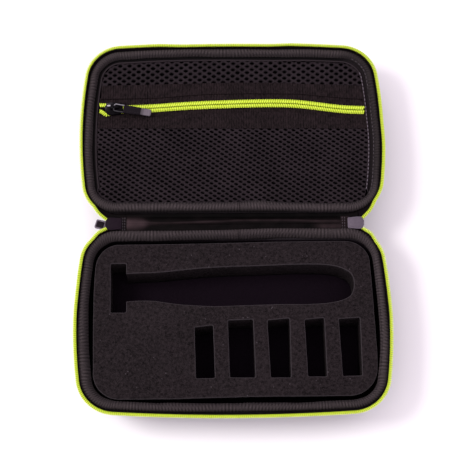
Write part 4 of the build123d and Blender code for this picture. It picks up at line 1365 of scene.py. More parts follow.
def knit(name, a, b, hole, tilt, region, z_of, replaces, drop=0.75, round_=1.0, phase=(0.0, 0.0), bend=None):
    """Knitted mesh with real holes on the lattice a, b. hole is (half width, half height). region(x, y) is true inside.
    bend(x, y) moves lattice points into place."""
    a, b = np.array(a, float), np.array(b, float)
    # Voronoi cell of the lattice
    near = [i * a + j * b for i in range(-2, 3) for j in range(-2, 3) if (i, j) != (0, 0)]
    poly = [np.array(p, float) for p in ((-20, -20), (20, -20), (20, 20), (-20, 20))]
    for m in near:
        new = []
        for i in range(len(poly)):
            p, q = poly[i], poly[(i + 1) % len(poly)]
            dp, dq = p @ m - m @ m / 2, q @ m - m @ m / 2
            if dp <= 0:
                new.append(p)
            if (dp < 0) != (dq < 0):
                t = dp / (dp - dq)
                new.append(p + (q - p) * t)
        poly = new
    cell = np.array(poly)
    keep = [i for i in range(len(cell)) if np.linalg.norm(cell[i] - cell[i - 1]) > 0.05]
    cell = cell[keep]
    # 12 points round the cell: corners and points between them
    ring = []
    for i in range(len(cell)):
        p, q = cell[i], cell[(i + 1) % len(cell)]
        ring += [p, (p + q) / 2]
    ring = np.array(ring)
    K = len(ring)
    ang = np.arctan2(ring[:, 1] / hole[1], ring[:, 0] / hole[0])
    ct, st = math.cos(tilt), math.sin(tilt)

    def oval(scale):
        e = np.stack([np.cos(ang) * hole[0], np.sin(ang) * hole[1]], 1) * scale
        return np.stack([e[:, 0] * ct - e[:, 1] * st, e[:, 0] * st + e[:, 1] * ct], 1)

    # the last number of each level is crest, 1 on the strand tops to 0 at the hole's floor: it paints the strands
    # lighter and the holes darker
    levels = [(ring, 0.0, 1.0), ((ring * 0.45 + oval(1.25) * 0.55), -0.06, 0.8), (oval(1.02), -0.32, 0.3), (oval(0.93), -drop, 0.0)]
    cells = []
    x0, x1, y0, y1 = -125, 125, 5, 155
    inv = np.linalg.inv(np.array([a, b]).T)
    cs = np.array([inv @ (np.array([x, y]) - phase) for x in (x0, x1) for y in (y0, y1)])
    lo, hi = np.floor(cs.min(0)).astype(int), np.ceil(cs.max(0)).astype(int)
    for i in range(lo[0], hi[0] + 1):
        for j in range(lo[1], hi[1] + 1):
            c = np.array(phase) + i * a + j * b
            if region(c[0], c[1]):
                cells.append(c)
    cells = np.array(cells)
    rs = np.random.RandomState(len(cells))
    soup_v, soup_f, crest = [], [], []
    n = 0
    index = {}

    def vid(p, z, e, share):
        nonlocal n
        key = (round(p[0] * 50), round(p[1] * 50)) if share else None
        if share and key in index:
            return index[key]
        soup_v.append((p[0], p[1], z))
        crest.append(e)
        if share:
            index[key] = n
        n += 1
        return n - 1

    for c in cells:
        jit = rs.uniform(-0.1, 0.1, 2)
        sc = rs.uniform(0.9, 1.08)
        prev = None
        for li, (rg, dz, e) in enumerate(levels):
            pts = c + (rg if li == 0 else rg * (sc if li > 1 else 1.0) + jit)
            ids = [vid(p, dz, e, li == 0) for p in pts]
            if prev is not None:
                for k in range(K):
                    k2 = (k + 1) % K
                    soup_f.append([prev[k], prev[k2], ids[k2], ids[k]])
            prev = ids
    V = np.array(soup_v)
    x, y = V[:, 0], V[:, 1]
    if bend is not None:
        x, y = bend(x, y)
    x, y = pull_inside(x, y, EDGE)
    V = np.column_stack([x, y, z_of(x, y) + V[:, 2]])
    ob = finish_mesh(name, V, soup_f, "mesh", attrs={"crest": np.array(crest)})
    # faces squeezed flat at the outline go
    bm = bmesh.new()
    bm.from_mesh(ob.data)
    bmesh.ops.remove_doubles(bm, verts=bm.verts, dist=0.00003)
    bad = [f for f in bm.faces if f.calc_area() < 2e-9]
    bmesh.ops.delete(bm, geom=bad, context="FACES")
    loose = [v for v in bm.verts if not v.link_faces]
    bmesh.ops.delete(bm, geom=loose, context="VERTS")
    bmesh.ops.recalc_face_normals(bm, faces=bm.faces)
    up = sum(f.normal.z * f.calc_area() for f in bm.faces)
    if up < 0:
        bmesh.ops.reverse_faces(bm, faces=bm.faces)
    bm.to_mesh(ob.data)
    bm.free()
    sol = ob.modifiers.new("thickness", "SOLIDIFY")
    sol.thickness = 0.32 * MM
    sol.offset = -1.0
    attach(ob, "lid")
    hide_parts(*replaces)
    return ob


def strip_between(name, lo, hi, z0, z1, mat, slot, replaces=(), lift_lo=0.0, lift_hi=0.0, crown=0.0, body="lid", seed=1, nx=240, nv=9, rag=0.12, x_edge=0.0):
    """A flat strip of cloth between two curves y(x), cut at the panel outline, with rounded folded edges."""
    xl = max(x_limits(float(lo(-110)))[0], x_limits(float(hi(-110)))[0]) + x_edge
    xr = min(x_limits(float(lo(110)))[1], x_limits(float(hi(110)))[1]) - x_edge
    x = np.linspace(xl, xr, nx)
    w = waves(seed, 7, 14, 60)
    yl, yh = lo(x) + rag * w(x, 0), hi(x) + rag * w(x, 50)
    t = np.linspace(0, 1, nv)
    Y = yl[:, None] * (1 - t) + yh[:, None] * t
    X = np.repeat(x[:, None], nv, 1)
    lift = lift_lo * np.exp(-((t * np.ones_like(Y)) * (yh - yl)[:, None] / 1.3) ** 2) + lift_hi * np.exp(-(((1 - t) * (yh - yl)[:, None]) / 1.3) ** 2)
    Zt = z1 + lift + crown * np.sin(t * math.pi) + 0.07 * w(X, Y)
    top = np.stack([X, Y, Zt], -1)
    edge_lo = np.stack([x, yl - 0.22, (z0 + Zt[:, 0]) / 2 - 0.02], -1)[:, None]
    edge_hi = np.stack([x, yh + 0.22, (z0 + Zt[:, -1]) / 2 - 0.02], -1)[:, None]
    bot = np.stack([X, Y, np.full_like(Y, z0)], -1)[:, ::-1][:, ::2]
    loop = np.concatenate([top, edge_hi, bot, edge_lo], 1)
    V = np.r_[0, np.cumsum(np.linalg.norm(np.diff(loop[nx // 2], axis=0), axis=1))]
    soup = Soup()
    soup.grid(loop, cu=False, cv=True, U=x, V=V)
    return soup.obj(name, mat, body=body, slot=slot, replaces=replaces, sharp=60)


def helix_row(name, centre, side_vec_sign, x0, x1, half_w, half_h, z, pitch, phase, r, spread=None, replaces=()):
    """One coil row of the pocket zip along y = centre(x)."""
    x = np.arange(x0, x1, 0.2)
    y = centre(x)
    if spread is not None:
        y = y + side_vec_sign * spread(x)
    C = np.column_stack([x, y, np.full(len(x), z)])
    L = np.r_[0, np.cumsum(np.linalg.norm(np.diff(C, axis=0), axis=1))]
    turns = L[-1] / pitch
    per = 12
    t = np.linspace(0, L[-1], int(turns * per) + 1)
    cc = np.stack([np.interp(t, L, C[:, k]) for k in range(3)], 1)
    T, S, B = frames(cc)
    out = S * (-side_vec_sign)          # towards the middle of the chain is -out
    a = 2 * math.pi * t / pitch + phase
    cw = np.sign(np.cos(a)) * np.abs(np.cos(a)) ** 0.8
    H = cc + out * (cw * half_w)[:, None] + B * (np.sin(a) * half_h)[:, None]
    rad = r * (1 + 0.16 * np.clip(-np.cos(a), 0, 1) ** 2)
    Th = np.gradient(H, axis=0)
    Th /= np.linalg.norm(Th, axis=1)[:, None]
    radial = out * np.cos(a)[:, None] + B * np.sin(a)[:, None]
    S2 = np.cross(Th, radial)
    S2 /= np.linalg.norm(S2, axis=1)[:, None]
    B2 = np.cross(S2, Th)
    q = np.arange(6) * math.pi / 3
    ring = H[:, None] + rad[:, None, None] * (np.cos(q)[None, :, None] * S2[:, None] + np.sin(q)[None, :, None] * B2[:, None])
    soup = Soup()
    soup.grid(ring, attrs={"tone": coil_tone(len(H), q, 0.72)})
    ob = soup.obj(name, "lime", body="lid", slot="zip_coil", replaces=replaces)
    th = Soup()
    th.grid(tube(cc[::3], 0.5, 6))
    m = np.arange(0, len(cc), 3)
    th.grid(tube(cc[m] + out[m] * 0.75 + B[m] * (half_h + r * 0.8), 0.15 + 0.05 * np.cos(a[m]), 5))
    th.obj(name + "_thread", "lime_thread", body="lid", slot="zip_coil")
    return ob


def build_edge_tape():
    """A narrow bound edge round the pocket: a sunk groove beside the binding and a thin raised hem with stitches."""
    rim = RIMS["lid"]
    s = np.linspace(0, rim.L, 700, endpoint=False)
    p, nn = rim.at(s)
    k = smooth01((p[:, 1] - 15) / 16)
    shift = side_shift("lid", p, nn) * 0.9
    prof = [(9.6, 31.2), (10.7, 30.75), (11.8, 30.5), (12.8, 30.7), (13.4, 31.35), (13.75, 31.62), (14.15, 31.66), (14.5, 31.45), (14.6, 31.15)]
    ins = np.array([q[0] for q in prof])
    zz = np.array([q[1] for q in prof])
    w = waves(61, 7, 12, 50)(p[:, 0], p[:, 1])
    I = 9.2 + (ins[None] - 9.2) * k[:, None] + shift[:, None] + 0.12 * w[:, None]
    Z = zz[None] * k[:, None] + (1 - k[:, None]) * 31.0
    top = rim.sweep(s, I, Z)
    bot = rim.sweep(s, I[:, ::-1], (np.minimum(Z, 31.0) - 0.5)[:, ::-1])
    soup = Soup()
    # painted shade in the sunk groove and on the underside, painted highlight on the raised hem; down the lid's right
    # side the groove is painted lighter
    tone = np.concatenate([np.array([0.25, 0.2, 0.2, 0.3, 0.7, 1.5, 1.9, 1.4, 0.8]), np.full(9, 0.3)])[None]
    tone = tone + lid_right(p)[:, None] * np.concatenate([np.full(5, 0.6), np.zeros(13)])[None]
    soup.grid(np.concatenate([top, bot], 1), cu=True, cv=True, caps=False, attrs={"tone": tone.ravel()})
    soup.obj("pocket_edge_tape", "edge_tape", body="lid", slot="band")
    # two seams of pale thread down the right side: one on the hem, one on the binding
    for name, inset, z, y0, y1, r, mat in (("pocket_hem_seam", 14.05, 31.74, 24, 137, 0.34, "pale_thread"),
                                           ("lid_binding_seam", 10.3, 33.15, 20, 150, 0.34, "mid_thread")):
        th = Soup()
        m = (p[:, 0] > 60) & (p[:, 1] > y0) & (p[:, 1] < y1)
        i = np.where(m)[0]
        q = p[i] + nn[i] * (inset + side_shift("lid", p[i], nn[i]))[:, None]
        path = np.column_stack([q, np.full(len(i), z)])
        stitches(th, path, np.tile([0.0, 0, 1], (len(i), 1)), 3.3, 2.4, r, 0.1)
        th.obj(name, mat, body="lid", slot="band")


def build_pocket():
    zw = waves(21, 7, 30, 90)

    def z_low(x, y):
        # the panel hangs a little between the binding and the band, and puckers at its corners
        d = np.clip((y - 14) / 20, 0, 1) * np.clip((83 - y) / 14, 0, 1)
        pucker = np.exp(-(((x + 100) / 14) ** 2 + ((y - 26) / 12) ** 2)) * np.sin((x - y) * 0.55) * 0.5
        return PANEL_Z1 + 0.15 + 0.35 * zw(x, y) * d + pucker

    def z_up(x, y):
        return PANEL_Z1 + 0.15 + 0.25 * zw(x + 40, y) * np.clip((y - 121) / 8, 0, 1)

    low_net = knit("pocket_mesh_lower", (6.55, -0.30), (3.10, -2.25), (1.72, 0.70), math.radians(-19),
         lambda x, y: y < low_y(x) + 1.6 and inside(GATE, np.array([x]), np.array([y]))[0],
         z_low, ("pocket_lower_mesh",), phase=(0.6, 80.0))
    up_net = knit("pocket_mesh_upper", (7.7, 0.15), (3.75, -2.68), (1.66, 1.02), 0.0,
         lambda x, y: y > top_y(x) - 1.6 and inside(GATE, np.array([x]), np.array([y]))[0],
         z_up, ("pocket_upper_mesh",), phase=(1.0, 122.3))

    f_seam = lambda x: seam_y(x) - 0.9
    upper = strip_between("pocket_band_upper", f_seam, lambda x: top_y(x) + 0.9, 30.9, 31.5, "band", "band", ("pocket_upper_band",),
                  lift_lo=0.35, lift_hi=0.1, seed=2)
    strip_between("pocket_tape_upper", lambda x: chain_y(x) + 2.6, lambda x: seam_y(x) + 0.2, 30.3, 31.0, "band", "zip_tape",
                  ("pocket_upper_tape",), seed=3)
    strip_between("pocket_tape_lower", lambda x: chain_y(x) - 8.4, lambda x: chain_y(x) - 2.6, 30.3, 31.0, "band", "zip_tape",
                  ("pocket_lower_tape",), seed=4)
    lower = strip_between("pocket_band_lower", lambda x: low_y(x) - 0.9, lambda x: chain_y(x) - 7.6, 30.9, 31.45, "band", "band",
                  ("pocket_lower_band",), lift_lo=0.1, lift_hi=0.3, seed=5)
    # a dark strip under the chain, standing in for the shade inside the pocket seen through the slit between the tapes
    strip_between("pocket_chain_shade_strip", lambda x: chain_y(x) - 3.2, lambda x: chain_y(x) + 3.2, 30.12, 30.5, "tape", "zip_tape", seed=6)

    # past the slider the rows part; the lower one curls back to the middle at its end
    split_up = lambda x: 2.0 * smooth01((-97.5 - x) / 4.0)
    split_low = lambda x: 2.7 * smooth01((-96.5 - x) / 4.5) - 3.4 * smooth01((-100.8 - x) / 6.0)
    helix_row("pocket_coil_upper", lambda x: chain_y(x) + 1.88, 1, -106.6, 107.6, 1.3, 0.46, 31.95, 1.45, 0.0, 0.44, spread=split_up,
              replaces=("pocket_upper_coil",))
    helix_row("pocket_coil_lower", lambda x: chain_y(x) - 1.88, -1, -106.6, 107.6, 1.3, 0.46, 31.95, 1.45, math.pi, 0.44, spread=split_low,
              replaces=("pocket_lower_coil",))
    build_edge_tape()


# ================================================================ spine
def build_spine():
    """The cloth between the halves: two soft pieces that meet on the spine's middle line, each bent over one fold."""
    X0, X1 = -96.6, 99.6
    xs = np.linspace(X0, X1, 197)
    wr = waves(41, 7, 18, 70)
    nx = RIMS["base"].nx

    def parts(x, y):
        mid = smooth01((x + 84.6) / 2.2) * smooth01((90 - x) / 9)
        left = 1 / (1 + np.exp((x + 68.5) / 2.6))
        cy = (2.75 - 0.8 * smooth01((5 - x) / 15) - 1.3 * smooth01((-x - 5) / 50) - 0.8 * smooth01((x - 40) / 30)) * (1 - left) + 0.2 * left
        wid = 1.0 + 3.6 * left
        ridge = np.exp(-np.abs((y - cy) / wid) ** 2.4) * mid
        valley = np.exp(-((y - 6.8) / 2.2) ** 2) * (1 - 0.6 * left) * mid
        trough = np.exp(-((y + 1.2) / 1.9) ** 2) * mid * (1 - left)
        return ridge, valley, trough, left * mid

    def height(x, y):
        ridge, valley, trough, left = parts(x, y)
        base = -0.5 * np.exp(-((y + 5.9) / 2.2) ** 2)
        return 31.0 + (0.95 + 0.75 * left) * ridge - 1.5 * valley - 0.55 * trough + base * (1 - left) + 0.16 * wr(x, y * 2.0)

    # painted light: the ridge lighter, valley and trough darker, a broad painted highlight on the raised fold at the
    # left end, a lighter patch near the right end and a pale line beside the base's binding
    def tone(x, y):
        ridge, valley, trough, left = parts(x, y)
        t = 0.17 + 0.06 * smooth01((4 - y) / 4) + (0.84 + 0.35 * wr(x * 1.5, 3)) * ridge * (1 - left) + 2.8 * left * ridge - 0.1 * valley - 0.05 * trough
        t = t + 1.5 * smooth01((x - 58) / 22) * smooth01((91 - x) / 4) * np.exp(-((y + 2.2) / 2.7) ** 2) * (0.85 + 0.5 * wr(x * 3, y))
        t = t + 0.18 * np.exp(-((y + 7.0) / 1.6) ** 2) * smooth01((x + 60) / 30)
        return np.clip(t + 0.08 * wr(x * 3, y * 3), 0.07, 4)

    for name, body, side in (("spine_cloth_near", "base", -1), ("spine_cloth_far", "lid", 1)):
        # across: down the shell's wall, over its edge, and to the middle line
        over = np.clip(np.abs(xs) - nx, 0, 30)
        wall = 9.3 + (R_NEAR - 4.3) - np.sqrt((R_NEAR - 4.3) ** 2 - over ** 2)
        frac = np.array([0.995, 1.0, 0.99, 0.94, 0.87, 0.79, 0.71, 0.63, 0.56, 0.49, 0.42, 0.35, 0.28, 0.21, 0.14, 0.07, 0.0])
        zs_wall = [24.6, 27.4, 29.6]
        G = np.zeros((len(xs), len(frac), 3))
        for j, f in enumerate(frac):
            y = side * wall * f
            if j < 3:
                z = np.full(len(xs), zs_wall[j])
            else:
                k = smooth01((1.0 - f) / 0.17)
                z = 30.6 * (1 - k) + height(xs, y) * k
            G[:, j] = np.column_stack([xs, y, z])
        du, dv = np.gradient(G, axis=0), np.gradient(G, axis=1)
        nr = np.cross(du, dv)
        nr /= np.linalg.norm(nr, axis=2)[..., None]
        if nr[80, -1, 2] < 0:
            nr = -nr
        loop = np.concatenate([G + nr * 0.3, (G - nr * 0.45)[:, ::-1]], 1)
        tn = tone(loop[..., 0], loop[..., 1])
        soup = Soup()
        V = np.r_[0, np.cumsum(np.linalg.norm(np.diff(loop[80], axis=0), axis=1))]
        soup.grid(loop, U=xs, V=V, attrs={"tone": tn.ravel()})
        rep = ("base_spine_flap", "spine_cloth", "spine_lining") if body == "base" else ("lid_spine_flap",)
        ob = soup.obj(name, "spine", slot="spine_cloth", replaces=rep)
        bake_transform(ob)

    # end tabs and chain ends on the spine body
    for sgn, name in ((-1, "left"), (1, "right")):
        xa = {"left": -83.9, "right": 85.4}[name]
        xb = {"left": -88.2, "right": 91.6}[name]
        x = np.linspace(xa, xb, 14)
        ys = np.linspace(-6.1, 6.1, 15)
        X, Y = np.meshgrid(x, ys, indexing="ij")
        w = waves(50 + sgn, 5, 10, 30)
        Z = 32.15 - 0.5 * (np.abs(Y) / 6.1) ** 4 + 0.1 * w(X, Y)
        top = np.stack([X, Y, Z], -1)
        bot = np.stack([X, Y, Z - 0.75], -1)[:, ::-1]
        soup = Soup()
        # a flat painted light level for each tab, lower on the left one
        soup.grid(np.concatenate([top, bot], 1), U=x, attrs={"tone": np.full(14 * 30, 0.42 if sgn < 0 else 0.8)})
        soup.obj(name + "_end_tab_cloth", "spine", body="spine", slot="spine_cloth", replaces=(name + "_end_tab",), sharp=50)
        th = Soup()
        for xx in ((-84.7, -86.3) if sgn < 0 else (86.6, 88.5)):
            yy = np.linspace(-5.6, 5.6, 60)
            stitches(th, np.column_stack([np.full(60, xx), yy, 32.25 - 0.5 * (np.abs(yy) / 6.1) ** 4]), np.tile([0.0, 0, 1], (60, 1)), 1.9, 1.2, 0.26, 0.12)
        th.obj(name + "_end_stitches", "mid_thread", body="spine", slot="spine_cloth")
        # closed chain running into the slider
        xc0, xc1 = {"left": -84.9, "right": 86.9}[name], {"left": -97.0, "right": 100.6}[name]
        soup = Soup()
        for sd in (-1, 1):
            xq = np.linspace(xc0, xc1, 120)
            k = smooth01((np.abs(xq) - abs(xc1) + 6.0) / 6.0)
            C = np.column_stack([xq, sd * (1.35 + 0.9 * k), np.full(120, 31.0)])
            t = np.linspace(0, 1, int(abs(xc1 - xc0) / 1.42 * 10))
            cc = np.stack([np.interp(t, np.linspace(0, 1, 120), C[:, m]) for m in range(3)], 1)
            a = 2 * math.pi * np.arange(len(t)) / 10 + (0 if sd > 0 else math.pi)
            H = cc + np.column_stack([np.zeros(len(t)), sd * np.cos(a) * 1.0, np.sin(a) * 0.42])
            G = tube(H, 0.38, 6, ref=(0.3, 0.2, 1))
            # a flat painted light level for the chain's ends
            soup.grid(G, attrs={"tone": np.full(G.shape[0] * G.shape[1], 0.8)})
        soup.obj(name + "_chain_end", "lime", body="spine", slot="zip_coil", replaces=(name + "_zip_end",))


# ================================================================ metal parts
def prism(soup, outline, z0, z1, bevel=0.3, place=None, mi=0, segs=3, worn=None, top=0.35):
    """A plate with rounded top and bottom edges; outline is a closed 2-D loop, place maps local to world."""
    P = np.asarray(outline, float)
    if area(P) < 0:
        P = P[::-1]
    n = loop_normals(P)
    rings = []
    q = np.linspace(0, math.pi / 2, segs + 1)
    for a in q:
        rings.append((bevel * (1 - math.sin(a)), z0 + bevel * (1 - math.cos(a))))
    for a in q[::-1]:
        rings.append((bevel * (1 - math.sin(a)), z1 - bevel * (1 - math.cos(a))))
    G = np.stack([np.column_stack([P + n * i, np.full(len(P), z)]) for i, z in rings], 0)   # (rings, points, 3)
    V = G.reshape(-1, 3)
    if place is not None:
        V = np.array([place(p) for p in V])
    F, _, _ = grid_faces(G.shape[0], G.shape[1], False, True)
    m = G.shape[1]
    faces = F.tolist() + [list(range(m)), [(G.shape[0] - 1) * m + k for k in range(m)]]
    uv = []
    for f in faces:
        for k in f:
            p = G.reshape(-1, 3)[k]
            uv.append((p[0], p[1]))
    at = np.zeros(G.shape[:2])
    # painted highlight weight on the middle of the bevel and, by top, on the top face
    if worn is not None:
        k = len(rings) // 2 + segs // 2
        for r, f in ((k - 1, 0.5), (k, 1.0), (k + 1, 0.9), (len(rings) - 1, top)):
            if r < len(rings):
                at[r] = f * np.array([worn(a, b) for a, b in P])
    soup.add(V, faces, np.array(uv), attrs={"worn": at.ravel()}, mi=mi)


def rect(x0, x1, y0, y1, r=0.5, n=5):
    pts = []
    for cx, cy, a0 in ((x1 - r, y1 - r, 0), (x0 + r, y1 - r, 90), (x0 + r, y0 + r, 180), (x1 - r, y0 + r, 270)):
        for a in np.linspace(a0, a0 + 90, n):
            pts.append((cx + r * math.cos(math.radians(a)), cy + r * math.sin(math.radians(a))))
    return np.array(pts)


def shield(length, w_mouth, w_tail, r):
    """Slider plate outline: x from -length/2 (tail, flat) to +length/2 (mouth, round)."""
    h = length / 2
    pts = [(-h, -w_tail), (-h + 0.55 * length, -w_mouth), (h - r * 0.55, -w_mouth), (h, -w_mouth + r), (h, w_mouth - r),
           (h - r * 0.55, w_mouth), (-h + 0.55 * length, w_mouth), (-h, w_tail)]
    P = round_polygon(np.array(pts), [0.8, 3.0, 2.2, 2.2, 2.2, 2.2, 3.0, 0.8], 0.5)
    return P


def arch(soup, span, rise, base_z, width, t, place, mi=0, down=False):
    """A bridge-shaped loop over the plate for the pull to hang on."""
    s = -1 if down else 1
    h = span / 2
    path = []
    for f in np.linspace(0, 1, 25):
        a = math.pi * f
        x = -h * math.cos(a)
        z = rise * (math.sin(a) ** 0.55)
        path.append((x, 0, base_z + s * z))
    path = np.array(path)
    T, S, B = frames(path, ref=(0, 1, 0))
    q = np.arange(10) * 2 * math.pi / 10
    cy = np.sign(np.cos(q)) * np.abs(np.cos(q)) ** 0.7 * width / 2
    cz = np.sign(np.sin(q)) * np.abs(np.sin(q)) ** 0.7 * t / 2
    ring = path[:, None] + cy[None, :, None] * np.array([0, 1.0, 0]) + cz[None, :, None] * S[:, None]
    V = ring.reshape(-1, 3)
    if place is not None:
        V = np.array([place(p) for p in V])
    F, LU, LV = grid_faces(len(path), 10, False, True)
    faces = F.tolist() + [list(range(10)), [(len(path) - 1) * 10 + k for k in range(10)]]
    soup.add(V, faces, mi=mi)


def build_sliders():
    for name, cx, out in (("left", -93.6, -1), ("right", 97.2, 1)):
        def place(p, cx=cx, out=out):
            return (cx + out * p[0], p[1] * out, p[2])
        soup = Soup()
        top = shield(12.9, 5.15, 4.3, 3.4)
        prism(soup, top, 32.15, 33.25, 0.34, place)
        # a raised panel on the back plate
        prism(soup, shield(9.6, 3.7, 3.1, 2.4), 33.1, 33.42, 0.16, place)
        prism(soup, shield(12.5, 4.85, 4.1, 3.2), 28.7, 29.8, 0.34, place)
        # side walls at the tail
        for sd in (-1, 1):
            prism(soup, rect(-6.0, 1.4, sd * 4.35 - 0.5, sd * 4.35 + 0.5, 0.4), 31.35, 32.4, 0.2, place)
            prism(soup, rect(-6.0, 1.4, sd * 4.1 - 0.5, sd * 4.1 + 0.5, 0.4), 29.5, 30.5, 0.2, place)
        # divider post
        prism(soup, round_polygon(np.array([(2.4, 0), (4.2, -1.3), (5.6, -1.1), (5.6, 1.1), (4.2, 1.3)]), 0.4, 0.4), 29.3, 32.6, 0.05, place)
        arch(soup, 6.4, 3.1, 28.9, 2.0, 0.95, place, down=True)
        # the left slider's body in the darker copy of the metal: painted shade
        soup.obj(name + "_slider_body", "dark_metal" if name == "left" else "zinc", body="spine", slot="slider_metal",
                 replaces=(name + "_slider",), sharp=40)

    # main pulls: a bail eye, a raised rim and a sunk middle
    for name, cx, out, swing in (("left", -93.6, -1, math.radians(80.0)), ("right", 97.2, 1, 0.0)):
        ax = Vector((out * math.sin(swing), 0, -math.cos(swing)))
        nz = Vector((0, 1, 0)).cross(ax) * -1

        yaw = math.radians(17.0) if name == "left" else 0.0

        def place(p, ax=ax, nz=nz, cx=cx, yaw=yaw):
            # the loose eye lets the tab turn a little in its own plane
            a, b = p[0] * math.cos(yaw) - p[1] * math.sin(yaw), p[0] * math.sin(yaw) + p[1] * math.cos(yaw)
            if yaw:
                a, b = a + 0.7, b - 1.25
            q = Vector((cx, 0, 27.0)) + ax * a + Vector((0, 1, 0)) * b + nz * p[2]
            return (q.x, q.y, q.z)
        soup = Soup()
        # rim ring round a sunk panel: built as plate with a hole from two loops
        def ring_plate(o, i, z0, z1, bev, mi):
            o = np.asarray(o)
            i = np.asarray(i)
            no, ni = loop_normals(o), loop_normals(i)
            R = [(o + no * bev, z1), (o + no * 0.25 * bev, z1 - 0.3 * bev), (o, z1 - bev), (o, z0 + bev), (o + no * 0.25 * bev, z0 + 0.3 * bev), (o + no * bev, z0),
                 (i - ni * bev, z0), (i - ni * 0.25 * bev, z0 + 0.3 * bev), (i, z0 + bev), (i, z1 - bev), (i - ni * 0.25 * bev, z1 - 0.3 * bev), (i - ni * bev, z1)]
            # both loops need the same number of points
            m = len(o)
            V = np.concatenate([np.column_stack([a, np.full(m, z)]) for a, z in R])
            F = []
            for k in range(len(R)):
                k2 = (k + 1) % len(R)
                for j in range(m):
                    j2 = (j + 1) % m
                    F.append([k * m + j, k * m + j2, k2 * m + j2, k2 * m + j])
            V = np.array([place(p) for p in V])
            soup.add(V, F, mi=mi)
        n_pts = 7
        ring_plate(rect(-0.75, 7.6, -3.6, 3.6, 1.6, n_pts), rect(0.85, 5.7, -2.1, 2.1, 1.0, n_pts), -0.8, 0.8, 0.3, 0)
        ring_plate(rect(6.2, 15.0, -3.7, 3.7, 1.3, n_pts), rect(7.4, 13.8, -2.5, 2.5, 0.8, n_pts), -0.8, 0.8, 0.3, 0)
        prism(soup, rect(7.0, 14.4, -3.0, 3.0, 0.8), -0.42, 0.42, 0.1, place, mi=1)
        for k in range(3):
            prism(soup, rect(8.5 + k * 1.8, 9.3 + k * 1.8, -1.9, 1.9, 0.35), -0.6, 0.6, 0.12, place, mi=1)
        soup.obj(name + "_pull_tab", ["zinc", "dark_metal"], body=name + "_pull", slot="main_pull", replaces=(name + "_pull",), sharp=40)


PS_X, ARC_X, ARC_Y, ARC_R = -94.9, -4.35, 102.4, 940.0


